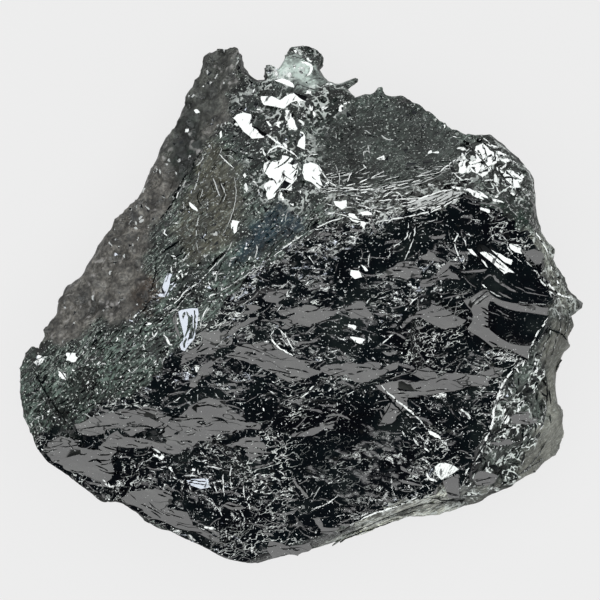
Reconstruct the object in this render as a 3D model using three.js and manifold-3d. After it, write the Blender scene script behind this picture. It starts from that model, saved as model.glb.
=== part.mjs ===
// A hand-sized chunk of black tourmaline, broken from a larger mass and lying on its flattest side.
// It is one solid. A thick slab with the stone's plan outline is struck with flat fracture planes, as a
// mason squares a block, and is then chipped with shallow shell-shaped scars. Units are millimetres, +Z is
// up, and the origin is on the flat resting face, under the middle of the stone.
import * as THREE from "three";
import { mergeVertices } from "three/addons/utils/BufferGeometryUtils.js";
import Module from "manifold-3d";

const CROWN = 15; // the slab's height before it is struck, a little over the finished stone
const CUTTER = 60; // side of the block that takes away everything beyond a fracture plane
const UP = new THREE.Vector3(0, 0, 1);

// Plan outline, seen from above, as [x, y], anticlockwise from the tall spike at the back left.
const OUTLINE = [
  [-3.2, 12.8], [-4.25, 12.5], [-4.85, 11.9], [-5.5, 10.6], [-6.1, 9], [-6.6, 8.1], [-7.4, 6.75], [-8.15, 5.1],
  [-9.4, 3.5], [-10.2, 2.1], [-10.8, 1.1], [-11.6, 0.5], [-12, -0.4], [-12.5, -1.4], [-12.9, -2.3],
  [-13.05, -2.75], [-13.3, -2.3], [-13.7, -2.75], [-13.9, -3.6], [-13.9, -4.6], [-13.7, -5.6], [-13.45, -6.6],
  [-13.1, -7.35], [-12.5, -8.05], [-11.5, -8.65], [-10.4, -9.35], [-9.65, -9.8], [-8.9, -9.95], [-7.5, -10.85],
  [-6, -11.6], [-4.85, -12.1], [-3.6, -12.7], [-2.25, -13], [-1.85, -13.15], [-0.5, -13.15], [0.75, -12.9],
  [1.75, -12.45], [2.6, -12.15], [3.5, -11.65], [4.75, -11.1], [6, -10.7], [7, -10.4], [8.15, -10.05],
  [9, -9.85], [10, -9.5], [11.1, -8.95], [12, -8.3], [12.8, -7.4], [13.15, -6.65], [13.05, -5.9],
  [12.7, -5.25], [12.75, -4.25], [12.8, -3.4], [13.3, -2.6], [13.55, -2.3], [13.3, -1.9], [13.5, -1.5],
  [13.35, -0.9], [13.7, -0.65], [14.05, -0.25], [13.6, 0.2], [13.15, 0.75], [12.75, 1.75], [12.4, 2.5],
  [12, 3.4], [11.75, 4.25], [11.65, 5.25], [11.4, 6], [10.75, 6.9], [10, 7.6], [9.4, 8.1], [8.25, 8.2],
  [7.6, 8.5], [6.7, 9.15], [6, 9.7], [5.2, 10.1], [4.25, 10.15], [4.1, 10.6], [3.9, 10.65], [3.7, 10.15],
  [2.65, 9.9], [2.25, 10.5], [2.95, 11], [2.8, 11.1], [1.95, 10.75], [1.4, 10.9], [0.75, 11.5], [1, 12.1],
  [0.8, 12.6], [0.2, 12.75], [-0.5, 12.7], [-0.8, 12.1], [-1.05, 11.5], [-1.5, 11.85], [-1.8, 11.8],
  [-1.65, 11.05], [-2.2, 10.95], [-2.65, 11.25], [-3, 11.6], [-2.95, 12.3],
];

// Fracture planes as [x, y, z, bearing, rise]: a point on the plane, then the way its outward face looks, as
// degrees anticlockwise from +X and degrees above the horizon.
const PLANES = {
  front_left: [-4.4, -6, 12.7, 216, 83.5],
  front_middle: [0, 2.7, 14.2, 272, 80],
  front_right: [6, -4, 12.9, 300, 79],
  fan_corner: [11, -1, 12.2, 348, 76],
  green_slope: [-6, -2, 12.5, 128, 56],
  green_shoulder: [-9.6, -5.6, 11.9, 166, 53],
  crust_rim: [-6.6, 3.4, 9.3, 140, 40],
  top_shards: [-0.6, 4.2, 13.6, 97, 50],
  top_slope: [6.5, 4.5, 13.7, 81, 43],
  top_right_corner: [9.7, 5, 12.8, 42, 44],
  right_band: [9.5, -6.5, 11.6, 333, 32],
  right_tip: [12.9, -0.4, 10.6, 12, 22],
  bottom_band: [4.1, -10.6, 11, 289, 11],
  under_front_left: [-5.9, -11.6, 10.4, 242.7, -21],
  under_front: [-1, -13.15, 9.4, 270, -30],
  under_front_right: [4.3, -11.6, 6.4, 290, -24],
  under_right_corner: [12, -8.3, 5.8, 312, -36],
  under_right: [13.9, -1.4, 6.2, 352, -31],
  under_back_right: [12.9, 1.9, 6.8, 24, -26],
  under_top_right: [8.7, 8.6, 7.4, 60, -27],
  under_top: [-1, 12.85, 5, 92, -36],
  under_rim: [-8.7, 5.4, 4.4, 149, -27],
  under_left: [-13.9, -4.4, 7.4, 188, -27],
};

// Shell-shaped scars as [x, y, z, width, length, depth, bearing, lean]: where the scar's middle lies, how wide,
// long and deep it is, the way its width runs in plan, and how far its mouth leans from straight up. A positive
// lean tips the mouth to the right of the bearing, and a negative one tips it to the left.
const SCARS = {
  great_bowl: [2.4, -7.1, 12.1, 7.2, 6.4, 0.7, 20, 10],
  fan_shell: [10.2, -1.4, 12.2, 6.4, 6.4, 0.6, -20, 12],
  dark_hollow: [6.4, 2.3, 13.35, 7.5, 3.4, 0.4, 10, 8],
  front_pocket: [-5.6, -9.4, 11.3, 6, 4.4, 0.55, -28, 6],
  top_dish: [5.2, 7, 10.9, 11, 6.6, 0.7, 4, -46],
  band_chip_low: [10.7, -8.1, 8.4, 3.4, 2.6, 0.4, 40, 54],
  band_chip_high: [12.2, -4.4, 8.3, 3.8, 2.2, 0.4, 76, 58],
  tip_chip: [12.9, 1.2, 9, 3, 1.8, 0.35, 110, 60],
  shard_chip: [-1.1, 8.6, 10, 3.4, 2.4, 0.45, 8, -38],
  under_rim_scar: [-7.9, 3.4, 2.4, 9, 4, 0.5, 59, -115],
  under_front_scar: [-4.6, -9.9, 5.4, 11, 6, 0.7, -27, 108],
  under_back_scar: [6.6, 7.4, 3.6, 8, 5, 0.6, -30, -114],
  under_right_scar: [11.6, -2.6, 3, 7, 4.6, 0.5, 80, 118],
};
const SCAR_RINGS = 12; // how finely a scar's shell is meshed

const wasm = await Module();
wasm.setup();

function solidFrom(geometry) {
  const bare = geometry.clone();
  bare.deleteAttribute("normal");
  bare.deleteAttribute("uv");
  const merged = mergeVertices(bare, 1e-4);
  return new wasm.Manifold(
    new wasm.Mesh({
      numProp: 3,
      vertProperties: merged.attributes.position.array,
      triVerts: new Uint32Array(merged.index.array),
    }),
  );
}

function geometryFrom(solid) {
  const mesh = solid.getMesh();
  const geometry = new THREE.BufferGeometry();
  geometry.setAttribute("position", new THREE.BufferAttribute(mesh.vertProperties, mesh.numProp));
  geometry.setIndex(new THREE.BufferAttribute(mesh.triVerts, 1));
  geometry.computeVertexNormals();
  return geometry;
}

function outlineSlab() {
  const shape = new THREE.Shape(OUTLINE.map(([x, y]) => new THREE.Vector2(x, y)));
  return solidFrom(new THREE.ExtrudeGeometry(shape, { depth: CROWN, steps: 1, bevelEnabled: false }));
}

// Everything beyond a fracture plane, as one block standing on the plane's outer side.
function beyond([x, y, z, bearing, rise]) {
  const turn = THREE.MathUtils.degToRad(bearing);
  const lift = THREE.MathUtils.degToRad(rise);
  const outward = new THREE.Vector3(
    Math.cos(turn) * Math.cos(lift),
    Math.sin(turn) * Math.cos(lift),
    Math.sin(lift),
  );
  const block = new THREE.BoxGeometry(CUTTER, CUTTER, CUTTER);
  block.translate(0, 0, CUTTER / 2);
  block.applyQuaternion(new THREE.Quaternion().setFromUnitVectors(UP, outward));
  block.translate(x, y, z);
  return solidFrom(block);
}

// A shallow scar is the low cap of a flattened ball. The ball's half-height is several times the scar's depth,
// so only its lowest part bites.
function scarTool([x, y, z, width, length, depth, bearing, lean]) {
  const half = depth * 4;
  const bite = Math.sqrt(1 - ((half - depth) / half) ** 2); // radius of the cap at the surface, as a share
  const ball = new THREE.SphereGeometry(1, 2 * SCAR_RINGS, SCAR_RINGS);
  ball.rotateX(Math.PI / 2);
  ball.scale(width / 2 / bite, length / 2 / bite, half);
  ball.translate(0, 0, half - depth);
  ball.rotateX(THREE.MathUtils.degToRad(lean));
  ball.rotateZ(THREE.MathUtils.degToRad(bearing));
  ball.translate(x, y, z);
  return solidFrom(ball);
}

function strikeStone() {
  let stone = outlineSlab();
  for (const plane of Object.values(PLANES)) stone = stone.subtract(beyond(plane));
  for (const scar of Object.values(SCARS)) stone = stone.subtract(scarTool(scar));
  return stone;
}

const tourmaline = new THREE.MeshStandardMaterial({ color: 0x14181a, roughness: 0.16, flatShading: true });
const chunk = new THREE.Mesh(geometryFrom(strikeStone()), tourmaline);
chunk.name = "tourmaline_chunk";

const specimen = new THREE.Group();
specimen.add(chunk);
export default specimen;
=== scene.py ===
"""A chunk of black tourmaline, lying on a pale floor and seen from straight above.

The stone starts as a merged copy of the CAD solid. It is worked in millimetres: meshed evenly, roughened
zone by zone, struck into mirror-flat steps and slivers with boolean cuts, thinned, and brought back to
metres.

Plan outlines and lines are (x, y) pairs in millimetres, as the camera sees them at the level SEEN_LEVEL.
Bearings are in degrees, anticlockwise from +X. A light's height is given in degrees from straight overhead.
"""

import math
import random

import bmesh
import bpy
import numpy as np
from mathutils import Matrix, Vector
from mathutils.bvhtree import BVHTree


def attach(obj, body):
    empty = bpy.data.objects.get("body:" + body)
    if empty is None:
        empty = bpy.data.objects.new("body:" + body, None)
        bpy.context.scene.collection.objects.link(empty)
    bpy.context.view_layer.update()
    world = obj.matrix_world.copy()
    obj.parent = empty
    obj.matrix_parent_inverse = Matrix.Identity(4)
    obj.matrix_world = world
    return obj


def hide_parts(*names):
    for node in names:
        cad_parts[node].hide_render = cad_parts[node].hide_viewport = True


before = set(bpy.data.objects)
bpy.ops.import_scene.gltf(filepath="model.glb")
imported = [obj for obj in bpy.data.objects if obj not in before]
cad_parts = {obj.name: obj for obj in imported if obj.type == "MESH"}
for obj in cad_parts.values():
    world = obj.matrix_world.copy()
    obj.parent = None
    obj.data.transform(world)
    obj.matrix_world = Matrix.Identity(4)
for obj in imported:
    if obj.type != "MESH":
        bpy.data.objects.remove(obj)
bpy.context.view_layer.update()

MM = 0.001  # one millimetre in the frame's metres
EYE_HEIGHT = 257.0  # mm above the floor, the camera
SEEN_LEVEL = 7.0  # mm above the floor, the level at which plan outlines are true to size
VIEW_WIDTH = 30.0  # mm across the view at that level
FACE_LEVEL = 12.0  # mm above the floor, about the height of the broken face
LOWEST_FACET = 4.5  # mm above the floor, the lowest place where facets are struck
SENSOR = 36.0  # mm, the camera's sensor
CLIP = (0.01, 10.0)  # metres, the nearest and farthest that the camera sees
FLOOR_SIDE = 4.0  # metres

MERGE = 0.001  # mm between points of the CAD solid that are taken as one
GRAIN = 0.105  # mm, mesh size while the surface is worked
ROUGH_LIMIT = 70000  # triangles kept before the sharp facets are struck
FACE_LIMIT = 190000  # triangles kept in the finished stone
TIDY_ROUNDS = 6  # goes at clearing doubled faces and pinched edges away
WELD = 0.00001  # mm between points of the struck stone that are taken as one
REST_SKIN = 0.6  # mm above the floor that stays untouched, so that the resting face stays flat
WEIGHT_STEPS = 16  # steps of a vertex group's weights
FAN_EVEN = 0.85  # how much of the fracture's unevenness the fan is spared
BOWL_EVEN = 0.25  # the same for the bowl
DISH_EVEN = 0.75  # how much of the slopes' unevenness the dish is spared
SHARP_ANGLE = 32  # degrees between faces, above which their edge is shaded sharp

# Zones of the upper side. The walls below them have the zone that they lie under.
FRACTURE = [
    (-13.6, -7.0), (-11.6, -6.3), (-9.5, -5.2), (-7.6, -4.3), (-6.6, -3.1), (-5.6, -2.2), (-5, -1.3),
    (-3.7, -0.1), (-2.4, 1.2), (-1, 2.4), (0.5, 3.4), (2.2, 4.1), (4, 4.2), (6.4, 4.6), (8.6, 5.2),
    (10.2, 4.4), (11.4, 3), (12.2, 1.6), (12.6, 0), (12.3, -1.4), (11.6, -2.5), (10.6, -3.6), (10, -4.5),
    (9.6, -5.9), (9.3, -7.2), (8.6, -8.6), (8.3, -10.1), (6.4, -10.4), (4, -11.1), (2, -12.4), (1, -13.5),
    (-3, -14), (-9, -11.5), (-14, -9),
]
RIM = [
    (-2.9, 13.5), (-3.05, 11.6), (-3.45, 10.4), (-3.6, 9.1), (-4.15, 8.15), (-4.9, 7.85), (-5, 6.85),
    (-5.95, 6), (-6.4, 4.95), (-7.2, 3.95), (-7.7, 2.85), (-7.75, 1.8), (-7.5, 0.7), (-7.7, -0.6),
    (-8.6, -1), (-10, -1), (-10.5, -1.7), (-11.7, -2.05), (-13, -2.2), (-15, -1), (-12, 5), (-6.5, 14),
]
EDGE_BAND = [
    (12.4, 0.6), (12.3, -1.4), (11.6, -2.5), (10.6, -3.6), (10, -4.5), (9.6, -5.9), (9.3, -7.2),
    (8.6, -8.6), (8.2, -9.9), (5.6, -10.4), (4, -11.1), (2, -12.3), (0, -13.4), (4, -13.5), (13, -11),
    (15, -6), (15, 1.5),
]
CORNER = [(7.3, 5.7), (8.7, 5.9), (9.6, 5.2), (11.4, 4.6), (11.8, 5.8), (10.8, 7.1), (9.3, 8.3), (8, 8),
          (7.7, 7)]
TOP_SHARDS = [
    (-2.9, 12), (-3.1, 10.5), (-3.6, 8.4), (-2.4, 6), (-1.7, 4.4), (0.4, 4.6), (1.6, 5.3), (0.6, 7.6),
    (1.6, 9), (2.6, 10.2), (1, 13), (-1, 13),
]
DISH = [(1.6, 5.2), (4, 4.8), (6.6, 5), (8.2, 6.2), (8, 8), (6.5, 9.4), (4, 10.2), (2.4, 9.8), (1.2, 8.6),
        (0.8, 7)]
BROWN_PATCH = [(-4.9, 7.8), (-3.9, 7.7), (-2.9, 6.2), (-2.9, 4), (-3.9, 2.4), (-5.4, 1.6), (-6.4, 3.6),
               (-5.4, 5.6)]
BLUE_STAIN = [
    (-3.2, 1.9), (-2, 2.3), (-1, 3), (0.1, 3.5), (0.1, 4.3), (-0.8, 4.7), (-1.6, 4.5), (-2.4, 3.6),
    (-3.1, 2.8),
]
SLOPE_TOE = [(-5.3, 0.9), (-3.4, 1), (-2, 2), (-2.3, 2.6), (-3.8, 2.1), (-5.1, 1.9)]
OUTER_BAND = [
    (12.6, -1.2), (12.1, -2.6), (12.1, -4.4), (12.2, -5.6), (11.8, -6.7), (11.2, -7.4), (11, -8.3),
    (10.4, -9.1), (9, -9.6), (6.4, -10.2), (4.6, -10.7), (2.6, -12), (2.6, -14), (13, -11), (15, -6),
    (15, -1),
]
FAN = [
    (8.3, 2.6), (9, 3), (10, 2.7), (11.2, 1.8), (12.6, 0.6), (12.5, -1.3), (11.6, -2.4), (10.2, -2.2),
    (9, -1.6), (8.2, -0.2), (8.6, 1), (8.9, 1.6),
]
GREEN_SLOPE = [
    (-13.6, -6.8), (-13.3, -3.4), (-10.6, -1.9), (-8.4, -1), (-7.3, 0.2), (-6, 2.6), (-4.8, 1.6),
    (-2.9, 2.4), (-1.6, 4.4), (1.6, 4.3), (-1, 2.4), (-2.6, 1), (-5.2, -1.3), (-6.8, -3.2), (-7.8, -4.4),
    (-9.8, -5.3), (-11.8, -6.4),
]
BROW = [
    (1.2, 5.7), (3, 5.5), (5, 5.6), (7.4, 5.9), (8.8, 5.5), (8.4, 5.2), (7.2, 4.6), (5.5, 4.2),
    (4.2, 3.9), (3.2, 3.6), (2.2, 4), (1.2, 4.6),
]
HORN = [(-2.9, 13.5), (-3.05, 11.6), (-3.45, 10.4), (-3.9, 9.2), (-5.4, 8.2), (-6.4, 7), (-9, 7),
        (-8, 11), (-5, 14)]
EAST_SLOPE = [(9.6, 4.9), (10.4, 5.3), (11.5, 5.2), (12.2, 4.6), (12, 3.7), (11.4, 3.5), (10.6, 3.4),
              (9.8, 4)]
EAST_EDGE = [
    (10.9, 3.4), (11.6, 3.7), (12.8, 2.8), (13.6, 0.6), (13.8, -0.6), (12.6, -0.9), (12.6, 0.4),
    (12, 1.2), (11.3, 1.8), (10.9, 2.6),
]
BOTTOM_EDGE = [
    (8.5, -9.95), (6.6, -9.75), (5, -10.1), (3.8, -10.6), (2.8, -11.2), (1.9, -11.95), (0.6, -12.9),
    (0.2, -14), (9, -11.5),
]
BOWL = [
    (-0.3, -7.2), (1.2, -6.5), (2.6, -5.6), (3.6, -5.2), (4.6, -6.2), (5.2, -7.2), (5.4, -8.6),
    (4.6, -9.6), (2.6, -10.2), (0.8, -9.8), (-0.3, -8.6),
]
INNER_BAND = [
    (11.5, -2.6), (10.9, -3.2), (10.2, -4.1), (9.7, -5.5), (9.6, -6.2), (9.2, -7.3), (8.3, -8.5),
    (8.2, -9.8), (9.5, -9.5), (10.6, -9.2), (11, -8.5), (11.2, -7.4), (11.8, -7), (12, -6), (12.3, -4.3),
    (12, -2.8),
]
SWEEP = [(0.8, 5.4), (2.6, 5.3), (5, 5.55), (6.8, 6), (8, 7), (7.4, 6.9), (6, 6.5), (4.6, 6.3),
         (2.8, 6.4), (1.2, 6.3)]
POCKET = [
    (-8.5, -7.2), (-7, -7.1), (-5.5, -7.5), (-4, -7.8), (-2.5, -8.2), (-1.5, -9.5), (-2, -11.4),
    (-3.6, -11.2), (-5, -9.8), (-6.8, -9.4), (-8.3, -9.3),
]
# Where the top is given a pale tint: a painted highlight, pale colour that stands for the polish blazing
# white there.
PAINTED_GLOW = [
    (-1.2, 11.1), (-1, 11.9), (-0.5, 12.05), (0.1, 12), (0.5, 11.7), (0.35, 11.35), (0.9, 11),
    (1.7, 10.75), (1, 10.6), (-0.2, 10.85),
]
SHADY_SADDLE = [
    (-6.5, 6.9), (-6.4, 7.6), (-6, 8.6), (-5.6, 9.4), (-5, 9.2), (-4.8, 8.2), (-4.9, 7.2), (-5.4, 6.2),
    (-5.9, 5.6), (-6.3, 6.1),
]
BROWN_FOOT = [(-8.3, 0.9), (-7.4, 1.5), (-7, 0.2), (-7.4, -0.8), (-8.3, -0.7)]

# Mirror-flat steps on the fracture face, level and facing straight up.
STEPS = {
    "spur": [(-1.9, 0.1), (-1.6, 0.4), (-1, 0.5), (-0.6, 0.55), (-0.75, 0.1), (-1.15, -0.5), (-1.4, -0.4),
             (-1.2, -0.15), (-1.6, -0.1)],
    "spur_foot": [(-2.8, -0.2), (-2.2, -0.25), (-1.9, -0.4), (-2.3, -0.55), (-3, -0.75), (-2.8, -0.6),
                  (-2.5, -0.5)],
    "west_arm": [(-5, -1.6), (-4.05, -1.5), (-3.95, -1.65), (-3.4, -1.4), (-2.75, -1.05), (-2.1, -0.8),
                 (-2.1, -0.95), (-2.75, -1.3), (-3.7, -1.9), (-3.4, -1.85), (-3.4, -2.2), (-4, -2.4),
                 (-4.4, -2.7), (-5.1, -2.75), (-6, -3.25), (-5.9, -2.85), (-5.25, -2.4), (-4.85, -2)],
    "middle": [(-1.1, -0.6), (-0.5, -0.45), (0.2, -0.25), (0.8, -0.3), (1.1, -0.55), (2.1, -0.5),
               (1.7, -0.8), (1.4, -0.85), (1.3, -1.1), (0.8, -1.15), (0.5, -1.35), (-0.1, -1.25),
               (-0.6, -1.45), (-1, -1.4), (-0.7, -1.2), (-1, -1), (-0.5, -0.85), (-1, -0.75)],
    "middle_east": [(2, -0.5), (2.9, -0.05), (3.3, 0), (3.2, -0.3), (3.7, -0.8), (3.65, -1), (3.2, -0.9),
                    (2.5, -0.9), (2.4, -0.6)],
    "great_lens": [(-3.2, -2.35), (-2.8, -2.2), (-1.9, -2.1), (-1.4, -2.2), (-1, -2.4), (-0.5, -2.75),
                   (0, -3), (1, -3.05), (0.25, -3.3), (1.1, -3.6), (0.6, -3.8), (0, -4), (-0.6, -4.1),
                   (-1, -3.9), (-1.4, -3.6), (-2.1, -3.3), (-3, -3), (-3.75, -2.8), (-3.25, -2.6)],
    "west_crescent": [(-3.9, -2.85), (-4.4, -2.95), (-4.8, -3.2), (-5.1, -3.55), (-5.4, -4),
                      (-5.55, -4.3), (-5.25, -4.4), (-5.1, -4), (-4.6, -3.8), (-4.35, -3.35)],
    "under_crack": [(-0.4, -2.25), (0, -2.05), (0.5, -2.05), (0.9, -1.9), (0.7, -2.15), (-0.1, -2.35)],
    "north_wing": [(3.95, 1.1), (4.3, 1.45), (4.8, 1.75), (5.4, 1.95), (5.85, 1.9), (5.7, 1.75),
                   (6, 1.55), (6.1, 1.1), (5.6, 1.15), (5.4, 1), (5, 1.15), (4.5, 1.15)],
    "north_cap": [(6, 2.15), (6.4, 2.45), (6.7, 2.35), (7.05, 1.9), (6.6, 1.95), (6.2, 2)],
    "north_east_wing": [(6, 0.7), (6.15, 1), (6.6, 1.15), (7.1, 1.65), (7.5, 1.9), (8, 1.85), (7.4, 1.6),
                        (7.9, 1.2), (8, 1), (7.3, 1.1), (6.7, 0.95), (6.6, 0.7), (6.05, 0.55)],
    "east_wing": [(5.05, -1.45), (5.25, -1.05), (5.45, -0.75), (6, -0.55), (6.5, -0.35), (6.6, 0),
                  (6.9, -0.25), (7.5, -0.6), (8.3, -1), (8, -1.3), (7.3, -1.5), (6.9, -1.35), (6.4, -1.1),
                  (6, -0.85), (5.55, -1), (5.2, -1.35)],
    "bead": [(1.8, -2.85), (2.1, -2.7), (2.4, -2.85), (2.3, -3), (1.9, -3)],
    "middle_band": [(1, -3.4), (1.65, -3.2), (2.4, -3.05), (2.85, -3.2), (4.05, -3.15), (4.1, -3.5),
                    (4.95, -3.05), (4.9, -3.3), (4.1, -3.75), (3.1, -4.15), (2.7, -4.1), (2.35, -3.75),
                    (1.7, -3.8), (1, -3.55)],
    "east_bead": [(5.6, -3.7), (5.9, -3.45), (6.35, -3.35), (6.85, -3.7), (6.85, -4), (6.1, -3.95)],
    "long_band": [(3.75, -4.25), (4.9, -4), (5.75, -4.1), (6.5, -3.9), (7.1, -3.8), (7.75, -3.6),
                  (8.9, -3.75), (9.6, -3.4), (10.15, -3.4), (10.15, -3.7), (9.6, -3.9), (9.4, -4.3),
                  (8.25, -4.35), (7.1, -4.6), (5.9, -4.75), (5.25, -4.9), (4.5, -4.85)],
    "band_tongue": [(4.6, -4.6), (5.3, -4.7), (5.1, -5.6), (4.4, -6.2), (3.9, -6.3), (4.2, -5.4)],
    "south_west": [(-12.85, -7.5), (-11.95, -6.8), (-11.3, -6.95), (-11.1, -7.35), (-10.3, -7.5),
                   (-9.7, -7.05), (-9.1, -6.5), (-8.8, -6.8), (-6.65, -7.2), (-6.5, -7.7), (-7.4, -7.3),
                   (-9.1, -7.3), (-9.4, -7.8), (-9.4, -8.9), (-9.7, -9.2), (-11.1, -8.65), (-11.7, -8.5),
                   (-12.45, -8)],
    "south_west_band": [(-11.25, -6.2), (-10.65, -6), (-9.7, -5.7), (-9, -5.45), (-7.65, -5.3),
                        (-7.1, -5.45), (-6.8, -5.75), (-6.4, -5.85), (-6.65, -6.3), (-8.05, -6.6),
                        (-8.5, -6.8), (-9, -6.4), (-9.7, -6.5), (-10.5, -6.8), (-11.1, -6.6)],
    "south_fan": [(-6.5, -6.05), (-5.75, -5.55), (-4.95, -5), (-4.5, -4.85), (-3.8, -5), (-3.3, -5.55),
                  (-2.7, -6), (-2, -6.2), (-2, -6.45), (-3.15, -6.6), (-4.05, -6.7), (-4.45, -7.05),
                  (-5.1, -7.05), (-5.65, -7.35), (-6.3, -7.8), (-6.6, -7.6), (-6.65, -7.05),
                  (-6.9, -6.7)],
    "south_fan_east": [(-3.45, -7.2), (-2.9, -6.9), (-2, -6.75), (-1.85, -7.75), (-2.5, -8),
                       (-2.75, -7.45)],
    "bowl_streak": [(-0.5, -6.85), (0, -6.6), (0.6, -6.4), (1, -6.3), (1.1, -6.1), (1.9, -6.03),
                    (1.6, -6.35), (1.2, -6.45), (0.25, -6.85)],
    "south_rim": [(-7.9, -9.5), (-7.25, -9.4), (-6.4, -9.6), (-6.35, -9.95), (-6.65, -10.35),
                  (-5.65, -10.6), (-5.35, -11.25), (-4.05, -11.95), (-3.65, -12.4), (-6.75, -11.1),
                  (-7.9, -10.45), (-9, -9.9), (-8.65, -9.65)],
    "south_lens": [(-3.9, -10.3), (-3.5, -10.1), (-2.9, -10.25), (-2.75, -10.4), (-3.4, -10.5)],
    "bottom_lens": [(-1.55, -11.95), (-0.7, -12.25), (0.5, -12.1), (0.6, -12.4), (-0.1, -12.8),
                    (-1.4, -12.9)],
    "bottom_bead": [(0.6, -10.9), (1, -10.9), (1.15, -11.35), (2.05, -11.4), (1.6, -11.7), (1, -11.65)],
    "edge_pane": [(10.5, -5.8), (10.9, -5.6), (11.4, -5.55), (11.45, -5.9), (11.9, -5.9), (11.85, -6.15),
                  (11.1, -6.2), (10.5, -6.25)],
    "edge_pane_two": [(8.6, -8.9), (8.9, -8.5), (9.4, -8.6), (9.9, -8.8), (9.6, -9.2), (8.9, -9.3)],
    "edge_pane_three": [(9.45, -7.2), (9.9, -6.95), (10.5, -6.95), (10.6, -7.2), (10, -7.35)],
    "east_pane": [(11.25, 2.45), (11.7, 2.55), (12.1, 2.4), (12.2, 2.1), (12.1, 1.85), (11.6, 1.7),
                  (11.3, 2)],
}

# Lights seen only in the stone's polish, as (bearing, degrees from overhead, half-angle, brightness). A
# facet that leans half as far, the same way, flashes white.
GLINTS = {
    "back_high": (100, 42, 5, 17),
    "back_low": (97, 80, 5.5, 15),
    "back_faint": (80, 28, 4, 9),
    "back_clear": (118, 30, 4, 15),
    "back_blue": (125, 46, 4.5, 14),
    "left_back": (135, 64, 6, 8),
    "left_low": (205, 62, 4, 16),
    "right_low": (335, 76, 5, 16),
    "corner_low": (44, 82, 5.5, 16),
}
BLUE_LIGHTS = {"back_blue"}

# What a facet marked "shade" mirrors, as (bearing, degrees from overhead). No light stands there.
SHADE = (285, 76)

# Facets that flash, as (light, outline).
FLASHES = {
    "crumb_one": ("back_high", [(2.5, -1.75), (3.25, -2), (2.95, -2.2), (2.6, -1.95)]),
    "crumb_two": ("back_high", [(2.4, -1.1), (2.8, -1.3), (2.7, -1.5), (2.4, -1.35)]),
    "shoulder_streak": ("back_high", [(7.6, 5.7), (8.5, 5.58), (9.2, 5.3), (9.4, 5.12), (9.95, 5),
                                      (10.2, 4.85), (9.6, 4.93), (9.2, 5), (8.9, 5.1), (8.65, 5.2),
                                      (8.4, 5.47), (7.7, 5.55)]),
    "shoulder_chip": ("back_high", [(8.95, 4.75), (9.5, 4.5), (9.4, 4.33), (9, 4.52)]),
    "silver_brow": ("back_faint", [(6, 5.1), (6.7, 5.28), (7.6, 5.45), (8.25, 5.4), (7.9, 5.05),
                                   (7.2, 4.72), (6.6, 4.55), (5.6, 4.4), (5.1, 4.55)]),
    "corner_glaze": ("back_low", [(8.55, 6.9), (8.8, 7), (8.75, 7.5), (9.2, 7.9), (9.5, 7.5), (9.9, 7.2),
                                  (9.9, 7), (9.5, 6.7), (9.35, 6.3), (9.1, 6.1), (8.6, 6.4)]),
    "corner_glaze_two": ("back_low", [(10.1, 6.3), (10.35, 6.5), (10.7, 6.45), (11.1, 6.1), (11, 5.6),
                                      (10.5, 5.6), (10.2, 6)]),
    "corner_glaze_three": ("back_low", [(9.9, 7.5), (10.2, 7.3), (10.5, 6.95), (10.3, 6.8), (10, 7)]),
    "corner_glaze_four": ("back_high", [(8, 6.9), (8.3, 7), (8.35, 6.6), (8.1, 6.3), (7.9, 6.4)]),
    "corner_chip": ("back_high", [(10.4, 2.95), (10.95, 2.9), (11.05, 2.55), (11.1, 2.3), (10.6, 2.5)]),
    "cracked_blaze": ("back_high", [(-1.6, 6.95), (-1.1, 6.95), (-0.9, 7.25), (-0.5, 7.15), (-0.1, 6.9),
                                    (-0.1, 6.4), (-0.2, 6), (-0.4, 5.7), (-0.35, 5.45), (-0.7, 5.5),
                                    (-1.05, 5.6), (-1.2, 5.3), (-1.6, 5), (-1.65, 5.4), (-1.75, 5.8),
                                    (-1.5, 6.1), (-1.8, 6.4)]),
    "saddle_chip": ("back_high", [(1.7, 4.95), (2.3, 5.05), (2.4, 4.7), (2.1, 4.5), (1.8, 4.7)]),
    "saddle_chip_two": ("back_high", [(2.45, 4.35), (2.75, 4.3), (3, 4.05), (2.85, 3.85), (2.6, 3.95)]),
    "saddle_chip_three": ("back_high", [(3, 3.95), (3.3, 3.9), (3.2, 3.5)]),
    "saddle_chip_four": ("back_high", [(3, 4.4), (3.6, 4.45), (3.6, 4.25), (3.1, 4.2)]),
    "ridge_blaze": ("back_high", [(6.4, -6.55), (6.8, -6.55), (7, -6.8), (7, -7), (6.75, -6.95)]),
    "west_shell": ("left_low", [(-11.7, -2.65), (-11.2, -2.65), (-11.2, -3.1), (-11.5, -3.35),
                                (-11.7, -3.05)]),
    "west_chip": ("left_low", [(-12.1, -3.55), (-11.7, -3.7), (-11.6, -4.1), (-11.95, -3.95)]),
    "west_glow": ("back_high", [(-13.35, -3.1), (-13.1, -2.75), (-12.7, -2.8), (-12.85, -3.05),
                                (-13.1, -3.3)]),
}

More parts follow.
